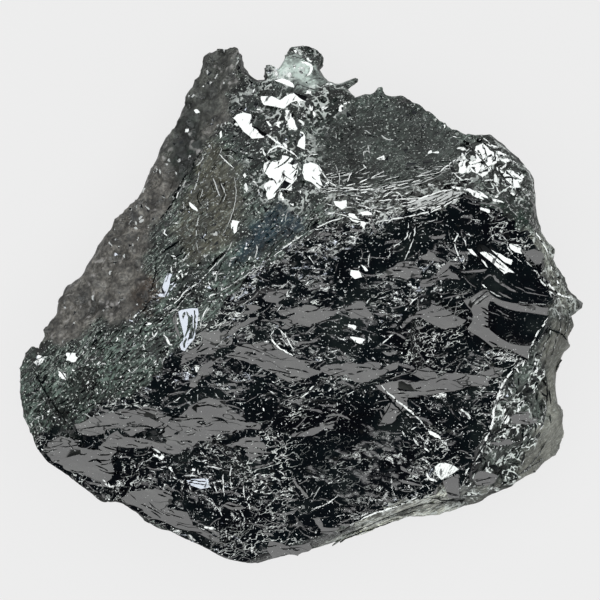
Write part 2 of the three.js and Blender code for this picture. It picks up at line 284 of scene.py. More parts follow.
# Long thin splinters, as (light, width in mm, line). "level" faces straight up, and "shade" and "crack" are
# dark: a crack falls steeply to one side.
SPLINTERS = {
    "dish": [
        ("back_clear", 0.06, [(5.65, 6.15), (6.5, 6.3), (7, 6.45), (7.6, 6.9), (8.1, 7.15), (8.6, 7.5)]),
        ("back_faint", 0.05, [(5.7, 6.25), (6.4, 6.4), (7, 6.6)]),
        ("back_clear", 0.05, [(1, 5.45), (2.5, 5.5), (4, 5.57), (5, 5.75), (6, 6), (6.6, 6.15)]),
        ("back_clear", 0.05, [(1.5, 5.75), (2.5, 5.75), (3.5, 6.1), (4.2, 6.45)]),
        ("back_faint", 0.05, [(1.3, 6.1), (2.6, 6.3), (3.4, 6.7)]),
        ("back_faint", 0.05, [(3.4, 5.35), (5, 5.6), (6.4, 6), (7.4, 6.5)]),
        ("back_clear", 0.05, [(0.8, 5.9), (1.4, 5.6), (2.4, 5.6), (3.6, 5.68)]),
        ("back_faint", 0.05, [(0.9, 6.7), (1.3, 6.1), (2, 5.7)]),
        ("back_clear", 0.05, [(2.3, 5.7), (2.45, 6.1), (2.6, 6.4)]),
        ("back_faint", 0.05, [(1.95, 5.7), (1.98, 6.2), (1.8, 6.7)]),
        ("back_faint", 0.05, [(4.4, 5.85), (5, 5.9), (5.7, 6.05)]),
        ("back_clear", 0.06, [(3.15, 6.8), (3.35, 6.55)]),
        ("back_faint", 0.06, [(3.2, 7.15), (3.2, 7.4), (3.45, 7.45), (3.5, 7.1)]),
        ("back_faint", 0.08, [(3.4, 7.75), (3.45, 7.45)]),
        ("back_faint", 0.07, [(4.05, 8.25), (4.4, 8.02), (4.9, 8.1)]),
        ("back_faint", 0.06, [(3.2, 8.5), (3.6, 8.3)]),
        ("back_clear", 0.1, [(2.45, 9.07), (2.6, 9.03)]),
        ("shade", 0.07, [(5.2, 6.55), (5.8, 6.6), (6.3, 6.75)]),
        ("shade", 0.14, [(7.1, 5.52), (7.4, 5.72), (7.75, 5.78)]),
    ],
    "brow": [
        ("back_clear", 0.07, [(3.3, 3.85), (4.4, 4), (5.5, 4.2), (6.8, 4.5), (7.6, 4.95), (8.4, 5.4)]),
        ("back_clear", 0.05, [(4.6, 4.15), (5.2, 4.45), (6, 4.65), (6.8, 4.6)]),
        ("back_clear", 0.05, [(2.6, 5.1), (3.4, 4.95), (4.6, 5.02), (5.8, 5.1), (6.4, 5.25)]),
        ("back_faint", 0.06, [(2.4, 4.9), (3.6, 4.6), (4.8, 4.7)]),
        ("back_clear", 0.05, [(3.1, 4.75), (3.7, 4.5), (4.4, 4.35), (5, 4.5)]),
        ("back_clear", 0.05, [(1.3, 4.4), (2, 4.3), (2.6, 4.1), (3.1, 4)]),
        ("back_faint", 0.05, [(4.8, 5.05), (4.95, 5.3), (5.1, 5.1), (5, 4.9)]),
        ("back_faint", 0.05, [(1.2, 4.95), (1.7, 5.2), (2.4, 5.25), (3.2, 5.15)]),
        ("crack", 0.05, [(5.6, 4.6), (6.6, 4.8), (7.4, 5.25)]),
        ("crack", 0.05, [(5.8, 4.78), (6.6, 5.02), (7.4, 5.38)]),
        ("crack", 0.05, [(6.9, 4.82), (7.5, 5.12), (8, 5.33)]),
        ("back_high", 0.06, [(5.2, 4.78), (6.2, 5.14), (7, 5.42), (7.8, 5.56)]),
        ("back_high", 0.05, [(6.2, 4.42), (7, 4.7), (7.7, 5.03), (8.3, 5.33)]),
        ("crack", 0.05, [(6.3, 4.7), (7, 4.85), (7.9, 5.3)]),
        ("shade", 0.07, [(6.9, 4.6), (7.6, 5), (8.45, 5.4)]),
    ],
    "fan": [
        ("level", 0.12, [(9.2, 1.05), (9.45, 1.25), (9.65, 1.22), (9.8, 1.05), (10.1, 0.8), (10.5, 0.55),
                         (10.9, 0.38)]),
        ("back_high", 0.09, [(9.02, 0.9), (9.15, 0.75), (9.35, 0.6)]),
        ("back_faint", 0.07, [(9.35, 0.58), (9.6, 0.38), (10.05, 0.15)]),
        ("level", 0.06, [(9.9, 0.4), (10.3, 0.2), (10.7, 0)]),
        ("level", 0.05, [(10.55, 0.8), (11, 0.55), (11.4, 0.38), (12, 0.25), (12.4, 0.2)]),
        ("level", 0.04, [(11.2, 0.65), (11.5, 0.55), (11.8, 0.45)]),
        ("back_faint", 0.04, [(11.8, 0.15), (12.1, 0.02), (12.4, -0.03)]),
        ("back_faint", 0.04, [(10.9, -0.1), (11.6, -0.16), (12.4, -0.25)]),
        ("crack", 0.06, [(10.95, -0.2), (11.3, -0.28), (11.6, -0.28)]),
        ("crack", 0.06, [(11.75, -0.25), (12.1, -0.3), (12.4, -0.38)]),
        ("crack", 0.1, [(9.62, -0.08), (9.9, -0.35), (10.3, -0.6)]),
        ("crack", 0.08, [(9.45, -2.08), (9.75, -2.2), (10, -2.42)]),
        ("level", 0.05, [(9.8, -0.45), (10.3, -0.75), (10.75, -0.9)]),
        ("level", 0.05, [(9.4, -0.55), (10.2, -0.85), (10.75, -1.05)]),
        ("crack", 0.09, [(9.05, -0.35), (9.25, -0.48), (9.55, -0.62)]),
        ("crack", 0.08, [(9.1, -0.55), (9.3, -0.68), (9.5, -0.78)]),
        ("crack", 0.09, [(9.2, -0.84), (9.35, -0.92), (9.55, -1)]),
        ("crack", 0.08, [(9.25, -1.04), (9.4, -1.1), (9.55, -1.15)]),
        ("crack", 0.09, [(9.15, -1.27), (9.35, -1.33), (9.55, -1.42)]),
        ("crack", 0.05, [(8.55, -0.2), (8.95, 0.1), (9.35, 0.42)]),
        ("crack", 0.05, [(8.8, -0.25), (9.15, 0), (9.5, 0.25)]),
        ("back_faint", 0.04, [(8.6, -0.12), (8.95, 0.2), (9.25, 0.46)]),
        ("back_faint", 0.04, [(8.7, -0.25), (9.05, 0.05), (9.42, 0.33)]),
        ("back_high", 0.14, [(8.3, 2.7), (8.5, 2.5), (8.85, 2.18)]),
        ("back_high", 0.1, [(9.05, 2.12), (9.2, 1.88), (9.38, 1.63)]),
        ("back_clear", 0.06, [(9.25, 2.85), (9.55, 3.15), (9.9, 3.32), (10.02, 3)]),
        ("crack", 0.05, [(9, 2.65), (9.2, 2.35)]),
        ("crack", 0.05, [(9.95, 1.62), (10.25, 1.4)]),
        ("crack", 0.03, [(9.3, 2.45), (9.8, 1.95), (10.3, 1.55)]),
        ("back_clear", 0.07, [(7.75, 3.4), (7.9, 3.3), (7.75, 2.9), (7.8, 2.5), (8, 2.1), (8.15, 2.05)]),
        ("back_clear", 0.06, [(8.05, 3.15), (8.25, 2.95), (8.3, 2.7)]),
    ],
    "east": [
        ("crack", 0.06, [(12.6, -0.2), (12.9, -0.8), (12.7, -1.6), (12.4, -2.4), (12.3, -3.2)]),
        ("crack", 0.06, [(13.25, -0.4), (13.3, -1.1), (13, -2), (12.8, -2.8)]),
        ("back_clear", 0.06, [(13.5, -0.35), (13.45, -1.2), (13.2, -1.8)]),
        ("back_clear", 0.06, [(12.8, -0.4), (13.05, -1.2), (12.8, -2), (12.6, -2.8)]),
        ("back_high", 0.06, [(13.5, -2.5), (13, -3.1), (12.75, -3.6)]),
        ("back_clear", 0.06, [(12.5, -1.1), (12.5, -1.7), (12.15, -2.4), (12, -3)]),
        ("back_high", 0.1, [(12.3, 0.95), (12.8, 0.42), (13.2, 0.2), (13.65, 0.08)]),
        ("back_clear", 0.06, [(12.1, 1.3), (12.35, 0.65), (12.6, 0.15), (12.75, -0.3)]),
        ("back_high", 0.07, [(11.7, 3.5), (12.1, 2.9), (12.4, 2.3)]),
        ("crack", 0.06, [(12.6, 1.2), (12.8, 0.7), (13.2, 0.35)]),
        ("back_high", 0.07, [(12.45, -0.7), (12.2, -1.2), (11.9, -1.6), (11.6, -2.2), (11.45, -2.6),
                             (11.4, -2.95)]),
        ("back_clear", 0.05, [(12.45, -1.3), (12.1, -1.8), (11.75, -2.35)]),
        ("back_high", 0.07, [(11.85, 1.2), (12.1, 0.9), (12.45, 0.5), (12.75, 0.2), (13, 0.02)]),
        ("back_clear", 0.06, [(12, 1.22), (12.3, 0.8), (12.6, 0.5)]),
        ("back_high", 0.13, [(12.5, 1.75), (12.6, 1.45)]),
        ("back_high", 0.1, [(12.85, 1), (12.95, 0.7)]),
        ("back_clear", 0.07, [(11.5, 1.55), (11.8, 1.45), (11.95, 1.2)]),
        ("back_clear", 0.06, [(11.3, 3.1), (11.6, 3.2), (11.9, 3.1)]),
        ("back_clear", 0.06, [(10, 3.4), (10.3, 3), (10.4, 2.6), (10.7, 2.2), (11.1, 1.9)]),
    ],
    "band": [
        ("back_high", 0.11, [(11.3, -3.05), (10.9, -3.25), (10.55, -3.6), (10.2, -4.1), (9.95, -4.7),
                             (9.7, -5.5), (9.6, -6.2), (9.3, -6.9), (9.2, -7.3), (8.8, -7.95),
                             (8.35, -8.5), (8.2, -9), (7.95, -9.5)]),
        ("back_high", 0.25, [(11.7, -3.3), (11.78, -3.45), (11.8, -3.65)]),
        ("back_high", 0.13, [(11.5, -3.85), (11.7, -3.87), (11.9, -3.95)]),
        ("back_high", 0.17, [(11.25, -4.6), (11.5, -4.57), (11.75, -4.6)]),
        ("back_high", 0.12, [(12.05, -4.6), (12.4, -4.88)]),
        ("back_high", 0.13, [(11.05, -4.62), (11.02, -5)]),
        ("back_high", 0.1, [(10.5, -5), (10.8, -5.1)]),
        ("back_high", 0.13, [(10.9, -5.33), (10.88, -5.6)]),
        ("back_high", 0.2, [(10.42, -5.8), (10.35, -6.05), (10.08, -6.2)]),
        ("back_high", 0.12, [(10.9, -6.38), (10.3, -6.4), (9.75, -6.7), (9.4, -6.9)]),
        ("back_high", 0.12, [(11.38, -6.2), (11.62, -6.35)]),
        ("back_high", 0.08, [(11.72, -6.1), (11.85, -6.4)]),
        ("back_clear", 0.07, [(10.45, -6.88), (10.65, -7.1), (10.9, -7.08)]),
        ("back_high", 0.14, [(11.3, -6.7), (11.18, -7.02)]),
        ("back_clear", 0.07, [(9.3, -7.2), (9.55, -7.4), (9.9, -7.43)]),
        ("back_high", 0.09, [(11.15, -7.5), (11.2, -7.8), (11.05, -8.3)]),
        ("back_high", 0.22, [(9.4, -8.3), (9.75, -8.33), (9.9, -8.6)]),
        ("back_high", 0.1, [(10, -8.6), (10.1, -8.95)]),
        ("back_high", 0.14, [(10.55, -8.6), (10.9, -8.85)]),
        ("back_high", 0.22, [(8.22, -9.2), (8.55, -9.2)]),
        ("back_clear", 0.07, [(10.6, -3.9), (10.78, -4.35)]),
        ("back_clear", 0.06, [(10.96, -3.9), (10.9, -4.3)]),
        ("back_clear", 0.07, [(10.12, -8.02), (10.36, -7.68)]),
        ("back_high", 0.08, [(9.03, -7.95), (9.12, -8.2)]),
        ("back_clear", 0.07, [(12.2, -3.4), (12.35, -4.2), (12.35, -5), (12.1, -5.9), (11.95, -6.8),
                              (11.35, -7.15)]),
        ("back_high", 0.12, [(12.15, -4), (12.3, -4.3)]),
        ("back_high", 0.14, [(12.1, -5.2), (12.05, -5.5)]),
        ("back_high", 0.1, [(11.6, -6.85), (11.3, -7.2)]),
        ("back_faint", 0.08, [(11.05, -8.7), (11.6, -8.3), (12.2, -7.9)]),
        ("back_faint", 0.07, [(11.65, -7.1), (12.1, -6.3), (12.3, -5.4), (12.15, -4.9)]),
        ("back_faint", 0.06, [(10.8, -8.85), (11.4, -8.35), (11.95, -7.7), (12.35, -7)]),
        ("shade", 0.08, [(12.5, -5.7), (12.55, -6.2)]),
        ("shade", 0.07, [(12.45, -4.5), (12.55, -5.3)]),
        ("shade", 0.1, [(12.4, -1.45), (13, -1.65), (13.35, -2)]),
    ],
    "corner": [
        ("crack", 0.08, [(8.7, 7.5), (9.1, 7), (9.5, 6.5)]),
        ("crack", 0.07, [(8.55, 6.75), (9, 6.9), (9.6, 7.3)]),
        ("crack", 0.07, [(9.15, 7.8), (9.3, 7.2), (9.2, 6.6)]),
        ("crack", 0.08, [(8.85, 6.3), (9.3, 6.6), (9.9, 6.85)]),
        ("crack", 0.07, [(10.3, 6.5), (10.6, 6.1), (10.6, 5.6)]),
        ("crack", 0.07, [(10.1, 6.1), (10.6, 6.15), (11.1, 6)]),
        ("back_clear", 0.07, [(9.3, 7.85), (9.7, 7.6), (10, 7.65)]),
        ("back_clear", 0.07, [(10, 7.05), (10.4, 7.1), (10.7, 6.8)]),
        ("back_clear", 0.07, [(10.6, 7), (11, 6.7)]),
        ("back_clear", 0.06, [(8.2, 7.3), (8.5, 7.6)]),
        ("back_clear", 0.06, [(7.6, 6.7), (7.9, 7), (8.2, 6.9)]),
        ("back_clear", 0.07, [(10.9, 5.4), (11.3, 5.6)]),
        ("back_clear", 0.07, [(9, 5.9), (9.5, 6), (10, 5.8)]),
        ("back_clear", 0.06, [(7.7, 6.4), (8, 6.1), (8.6, 6)]),
        ("back_faint", 0.06, [(10.2, 5.3), (10.5, 4.6), (10.9, 4.2)]),
    ],
    "pocket": [
        ("back_clear", 0.08, [(-7.55, -7.35), (-7.2, -7.5), (-6.8, -7.75)]),
        ("back_clear", 0.06, [(-7.1, -7.95), (-6.7, -8.1)]),
        ("back_high", 0.08, [(-6.35, -8), (-5.9, -8.15), (-5.5, -8.15)]),
        ("back_clear", 0.06, [(-5.5, -7.9), (-5, -8.05), (-4.6, -8)]),
        ("back_clear", 0.05, [(-5.2, -8.65), (-4.6, -8.65), (-4.2, -8.75)]),
        ("back_clear", 0.06, [(-4.35, -9.1), (-4.15, -9.6)]),
        ("back_clear", 0.05, [(-3.4, -8.1), (-3.5, -8.9), (-3.4, -9.5)]),
        ("back_high", 0.1, [(-9.9, -8.95), (-9.7, -9.15)]),
        ("back_clear", 0.05, [(-5.85, -8.75), (-4.7, -8.8)]),
        ("crack", 0.05, [(-5.75, -8.95), (-4.6, -9.1)]),
        ("crack", 0.05, [(-5.6, -9.1), (-4.6, -9.25)]),
        ("back_clear", 0.08, [(-4.65, -8.3), (-3.7, -8.42)]),
        ("back_clear", 0.06, [(-3.85, -8.6), (-3.85, -9.2), (-3.8, -9.8)]),
        ("back_clear", 0.06, [(-2.85, -9.2), (-2.75, -10.1)]),
        ("back_clear", 0.06, [(-3.2, -10.6), (-3, -11), (-3.1, -11.4)]),
        ("back_clear", 0.05, [(-3, -10.5), (-2.8, -10.9), (-2.9, -11.3)]),
        ("back_high", 0.12, [(-4.8, -11.35), (-4.2, -11.45)]),
        ("back_high", 0.14, [(-9.75, -9.2), (-9.4, -9.35)]),
        ("back_faint", 0.07, [(-7.6, -9.4), (-7.3, -8.9), (-7.2, -8.5)]),
        ("back_faint", 0.06, [(-6.6, -9.7), (-6.2, -9.2), (-5.9, -8.9)]),
        ("back_clear", 0.06, [(-4.7, -9.9), (-4.2, -10.3), (-3.9, -10.8)]),
    ],
    "glow": [
        ("back_high", 0.13, [(0.05, 11.92), (0.5, 11.75), (0.55, 11.4), (0.25, 11.17)]),
        ("back_clear", 0.08, [(-0.1, 11.55), (0.15, 11.6), (0.2, 11.4)]),
    ],
    "south_east": [
        ("back_clear", 0.08, [(3.9, -3.95), (4.25, -4.5), (5, -5.15), (5.5, -5.56), (6, -6),
                              (6.35, -6.5)]),
        ("back_high", 0.2, [(5.25, -5.35), (5.5, -5.5), (5.7, -5.75)]),
        ("shade", 0.1, [(4.1, -4.6), (4.8, -5.3), (5.4, -5.85), (5.9, -6.3)]),
        ("back_high", 0.08, [(7, -6.95), (7.2, -7.1), (7.4, -7.45)]),
        ("back_clear", 0.07, [(5.06, -6.5), (5.27, -6.84)]),
        ("back_clear", 0.06, [(5.72, -6.53), (6.2, -7)]),
        ("back_clear", 0.09, [(5.66, -6.87), (5.95, -7.3)]),
        ("back_clear", 0.07, [(5.54, -6.48), (5.85, -6.3)]),
        ("back_high", 0.1, [(6.2, -7.38), (6.45, -7.57)]),
        ("back_clear", 0.08, [(6.03, -7.93), (6.25, -8.02), (6.5, -8.25)]),
        ("back_clear", 0.07, [(6.15, -8.3), (6.45, -8.5)]),
        ("back_high", 0.13, [(6.36, -8.6), (6.45, -8.9), (6.85, -9.07)]),
        ("back_clear", 0.06, [(6, -9.48), (6.36, -9.1)]),
        ("back_clear", 0.07, [(4.57, -8.9), (4.6, -9.4), (4.84, -10.06)]),
        ("back_clear", 0.07, [(4, -9.72), (4.45, -9.5)]),
        ("back_clear", 0.08, [(1.23, -9.2), (1.96, -9.02)]),
        ("back_clear", 0.05, [(1.5, -9.12), (2, -8.78)]),
        ("back_clear", 0.08, [(0.5, -10.54), (1.05, -10.3), (1.53, -10.06), (1.96, -9.75)]),
        ("back_faint", 0.05, [(0.5, -9.87), (0.86, -9.27)]),
        ("back_faint", 0.05, [(0.65, -9.9), (1.05, -9.3)]),
        ("level", 0.11, [(1.3, -5.82), (1.8, -5.72), (2.2, -5.82), (2.5, -6)]),
    ],
    "bottom": [
        ("crack", 0.07, [(1.6, -12.3), (2.4, -11.75), (3.2, -11.4)]),
        ("crack", 0.06, [(3.4, -11.6), (4.2, -11.15), (5, -10.95)]),
        ("back_clear", 0.06, [(1.5, -12.4), (2.6, -11.8), (3.6, -11.45), (4.6, -11.1)]),
        ("crack", 0.06, [(5.2, -10.75), (6, -10.5), (6.8, -10.4)]),
        ("back_high", 0.08, [(2.02, -11.7), (2.5, -11.25), (3.05, -10.97), (3.6, -10.72), (4.1, -10.54),
                             (4.75, -10.33), (5.54, -10), (5.85, -9.82), (6.2, -9.68)]),
        ("back_high", 0.06, [(5.79, -9.97), (6.58, -9.88), (7.18, -10.02), (8.2, -10.05)]),
        ("back_clear", 0.08, [(2.63, -10.88), (3.05, -10.79), (3.54, -10.6)]),
        ("back_faint", 0.05, [(3, -11.5), (4.4, -10.85), (6, -10.25), (7.2, -10.15)]),
        ("crack", 0.05, [(2.6, -11.7), (3.4, -11.1), (4.2, -10.8)]),
        ("crack", 0.05, [(4.4, -10.95), (5.4, -10.5), (6.4, -10.15)]),
    ],
    "seam": [
        ("back_clear", 0.06, [(-6.87, -0.49), (-6.3, -0.17), (-5.98, 0.14), (-5.75, 0.42), (-5.28, 0.73),
                              (-4.96, 0.99), (-4.5, 1.5), (-4.02, 1.99)]),
        ("back_faint", 0.05, [(-6.73, -0.72), (-6.14, -0.41), (-5.75, 0.14), (-5.4, 0.45)]),
        ("back_faint", 0.05, [(-4.3, 1.6), (-3.6, 2.5), (-3.3, 3.2)]),
        ("back_faint", 0.05, [(-4.4, 0.2), (-3.2, 0.9), (-2.3, 1.5), (-1.5, 2.1)]),
        ("back_clear", 0.06, [(-1.3, 2.2), (-0.6, 2.75), (0.2, 3.3)]),
        ("back_clear", 0.06, [(0.35, 3.35), (1.1, 3.75), (1.9, 4.05), (2.4, 4.2)]),
        ("shade", 0.08, [(-7.2, -0.9), (-6.61, -0.6), (-6.14, -0.25), (-5.51, 0.48), (-4.9, 0.88)]),
        ("shade", 0.1, [(-4.7, 1.5), (-4.3, 1.9), (-3.9, 2.3), (-3.5, 2.5)]),
        ("back_clear", 0.06, [(-4.61, -0.33), (-4.84, -0.76), (-4.96, -1.12), (-4.96, -1.39)]),
        ("back_high", 0.12, [(-6.81, -1.71), (-6.61, -2.06), (-6.38, -2.3)]),
        ("back_clear", 0.05, [(-6.24, -1.67), (-6.14, -1.98)]),
        ("back_clear", 0.08, [(-7.38, -1.59), (-7.28, -1.82), (-7.12, -1.55)]),
        ("back_high", 0.14, [(-7.75, -1.2), (-7.4, -1.18)]),
        ("back_high", 0.12, [(-8.28, -0.9), (-8.18, -0.66)]),
        ("back_clear", 0.1, [(-4.5, 0.2), (-4.2, 0.3)]),
    ],
    "stripes": [
        ("crack", 0.1, [(-5.77, -0.58), (-5.84, -0.95)]),
        ("crack", 0.12, [(-5.67, -0.57), (-5.56, -0.84), (-5.55, -1.12), (-5.61, -1.47), (-5.76, -1.86)]),
        ("crack", 0.12, [(-5.44, -0.72), (-5.41, -1.23), (-5.47, -1.67), (-5.6, -2.06)]),
        ("crack", 0.1, [(-5.28, -0.49), (-5.26, -0.96), (-5.3, -1.47), (-5.39, -1.94)]),
        ("crack", 0.09, [(-5.7, -1.9), (-5.8, -2.2), (-5.75, -2.4)]),
        ("level", 0.12, [(-6.2, -0.65), (-6.2, -1.3), (-6, -1.9)]),
        ("level", 0.08, [(-6.3, -0.8), (-6.32, -1.2)]),
        ("crack", 0.08, [(-6.72, 0.95), (-6.66, 0.93)]),
        ("back_blue", 0.08, [(-6.18, 0.85), (-6.48, 0.46)]),
        ("back_blue", 0.06, [(-6.57, 0.46), (-6.65, 0.18)]),
        ("back_clear", 0.09, [(-6.2, 1.25), (-6.1, 1.12)]),
        ("back_clear", 0.1, [(-6.4, 0.15), (-6.38, 0)]),
    ],
    "brown_patch": [
        ("shade", 0.1, [(-7, 4.03), (-6.45, 4.76), (-5.96, 5.85), (-5.6, 6.4)]),
        ("shade", 0.06, [(-5.5, 6.1), (-5.3, 6.9), (-4.9, 7.5)]),
        ("shade", 0.06, [(-7.2, 2.2), (-7.25, 1.2), (-7.5, 0.4)]),
        ("shade", 0.12, [(-6.9, 2.4), (-6.4, 2.72), (-6, 2.95)]),
        ("shade", 0.06, [(-5.05, 5.49), (-5.11, 5), (-4.87, 4.64)]),
        ("back_clear", 0.06, [(-5.72, 5.98), (-6.02, 5.5), (-6.17, 5.06)]),
        ("back_faint", 0.06, [(-5, 6.46), (-5.17, 5.85), (-5.3, 5.5)]),
        ("back_clear", 0.06, [(-4.05, 7.3), (-3.65, 6.89), (-3.29, 6.58)]),
        ("back_faint", 0.05, [(-3.8, 7.25), (-3.4, 7.15), (-3.05, 6.89)]),
        ("shade", 0.06, [(-3.9, 7.5), (-3.4, 7.45), (-3, 7.1)]),
        ("back_faint", 0.07, [(-4.35, 6.1), (-4.2, 5.73), (-4.02, 5.19)]),
        ("back_faint", 0.06, [(-3.96, 5.85), (-3.78, 5.43), (-3.68, 5.2)]),
        ("shade", 0.05, [(-4.44, 5.9), (-4.25, 5.4)]),
        ("shade", 0.05, [(-4.05, 6), (-3.86, 5.4)]),
        ("back_faint", 0.04, [(-3.3, 6.2), (-3.2, 5.2), (-3.5, 4), (-3.9, 3.2)]),
        ("back_faint", 0.04, [(-5.1, 4.1), (-5.2, 3.2), (-5.1, 2.4)]),
        ("back_high", 0.2, [(-5.54, 4.88), (-5.35, 4.64), (-5.11, 4.46)]),
        ("back_high", 0.08, [(-4.7, 4.3), (-4.62, 4.28)]),
        ("back_clear", 0.11, [(-6.3, 3.85), (-6.1, 3.83)]),
        ("back_clear", 0.07, [(-6.7, 3.6), (-6.78, 3.35), (-6.62, 3.2)]),
        ("back_clear", 0.06, [(-6.45, 2.24), (-6.14, 2.15)]),
        ("back_high", 0.2, [(-2.77, 6.34), (-2.77, 6.1)]),
        ("back_clear", 0.16, [(-2.7, 5.85), (-2.68, 5.4)]),
        ("back_high", 0.14, [(-2.7, 4.88), (-2.62, 4.78)]),
        ("back_high", 0.12, [(-3.93, 8.45), (-4, 8.08)]),
        ("back_clear", 0.14, [(-4.58, 7.7), (-4.46, 7.66)]),
        ("back_clear", 0.08, [(-3.74, 8.95), (-3.7, 8.75)]),
    ],
    "rim": [
        ("back_clear", 0.22, [(-5.72, 8.55), (-5.58, 8.4)]),
        ("back_high", 0.3, [(-5.3, 9.5), (-5, 9.4)]),
        ("left_back", 0.14, [(-6.72, 6.85), (-6.62, 6.7)]),
        ("left_back", 0.1, [(-7.02, 6.55), (-6.98, 6.3)]),
        ("left_back", 0.1, [(-6.22, 6.42), (-6.18, 6.25)]),
        ("left_back", 0.07, [(-7.75, 4.7), (-7.45, 4.5)]),
        ("left_back", 0.12, [(-8.22, 3.95), (-8.18, 3.75)]),
        ("left_back", 0.12, [(-8.3, 3.65), (-8.12, 3.55)]),
        ("left_back", 0.1, [(-8.4, 2.85), (-8.32, 2.65)]),
    ],
    "shards": [
        ("back_high", 0.1, [(-1.65, 8.3), (-1.3, 8), (-0.9, 7.75)]),
        ("back_high", 0.1, [(-1.65, 7.3), (-1.4, 7.58), (-1, 7.68), (-0.5, 7.45), (-0.05, 7.08)]),
        ("back_clear", 0.06, [(0.2, 7.1), (0.6, 7.25), (0.9, 7.3)]),
        ("back_clear", 0.06, [(1.1, 6.4), (1.4, 6), (1.9, 5.6)]),
        ("back_high", 0.12, [(0.2, 9.25), (0.25, 9.12)]),
        ("back_high", 0.14, [(0.65, 9.45), (0.75, 9.15)]),
        ("back_high", 0.1, [(1.1, 9.55), (1.4, 9.65)]),
        ("back_high", 0.12, [(2.1, 9.8), (2.5, 9.9)]),
        ("back_high", 0.1, [(2.55, 9.05), (2.6, 8.98)]),
        ("shade", 0.05, [(-0.9, 6.4), (-0.6, 6.1), (-0.4, 6)]),
        ("shade", 0.05, [(-0.4, 6.7), (-0.2, 6.5)]),
        ("shade", 0.05, [(0.6, 6.2), (0.8, 6)]),
        ("shade", 0.06, [(-1.5, 6.1), (-1.3, 6), (-1.15, 5.75)]),
        ("shade", 0.06, [(-1.05, 6.95), (-1.1, 6.75)]),
    ],
    "south_flakes": [
        ("crack", 0.2, [(-5.15, -6.1), (-4.9, -6.15), (-4.7, -6.1)]),
        ("crack", 0.16, [(-6.3, -6.7), (-6.05, -6.62)]),
        ("crack", 0.18, [(-4.5, -6.9), (-4.15, -6.8)]),
        ("crack", 0.15, [(-3.4, -6.65), (-3.15, -6.5)]),
        ("crack", 0.35, [(-3.35, -7.35), (-2.95, -7.55), (-2.65, -7.6)]),
        ("crack", 0.08, [(-9.1, -5.9), (-8.7, -5.9), (-8.4, -5.78)]),
        ("crack", 0.1, [(-6.75, -5.68), (-6.2, -5.85), (-5.7, -5.88)]),
        ("crack", 0.08, [(-9.05, -5.35), (-8.3, -5.2), (-7.4, -5.1)]),
        ("crack", 0.08, [(-5.2, -5.35), (-4.6, -5.25), (-4.1, -5.4)]),
        ("crack", 0.08, [(-4.4, -5.9), (-3.9, -5.95), (-3.6, -6.2)]),
        ("crack", 0.1, [(-8.4, -6.35), (-7.8, -6.3), (-7.2, -6.45)]),
        ("crack", 0.1, [(-10.6, -8.1), (-10.2, -8), (-9.9, -8.15)]),
    ],
    "west": [
        ("shade", 0.08, [(-13.4, -3.3), (-12.6, -4.8), (-11.6, -6.2)]),
        ("back_faint", 0.05, [(-13.8, -3.9), (-12.8, -5)]),
        ("back_faint", 0.05, [(-13.5, -3.7), (-12, -6.2)]),
    ],
    "centre": [
        ("back_clear", 0.05, [(5.25, 2), (5.7, 3.2), (5.75, 4.1)]),
        ("back_clear", 0.05, [(4.4, 2.05), (4.7, 2.65), (5.35, 3.2), (5.4, 3.95)]),
        ("back_clear", 0.07, [(4, -2.3), (4.35, -1.95), (4.75, -1.65)]),
        ("back_clear", 0.07, [(5.4, -0.3), (5.65, -0.05), (5.9, 0.15)]),
        ("back_clear", 0.05, [(-1.15, -0.6), (-0.8, 0), (-0.55, 0.55)]),
        ("level", 0.08, [(-0.45, -1.8), (0.3, -1.65), (0.75, -1.25)]),
        ("back_clear", 0.07, [(0.05, -4.9), (0.4, -4.6), (0.75, -4.2)]),
        ("level", 0.12, [(-3.7, -4.65), (-3.2, -4.5), (-2.6, -4.45)]),
        ("back_high", 0.1, [(-1.45, -1.7), (-1.3, -2.15), (-0.85, -2.5), (-0.35, -2.8)]),
        ("back_clear", 0.05, [(-1.3, -1.45), (-1.45, -1.75)]),
        ("back_clear", 0.06, [(-1.15, -1.35), (-0.75, -1.75), (-0.5, -2.2), (-0.25, -2.65)]),
        ("back_clear", 0.05, [(-0.95, -1.9), (-0.6, -2.3)]),
        ("shade", 0.12, [(-1.2, -1.7), (-0.95, -2.1), (-0.55, -2.5)]),
    ],
}

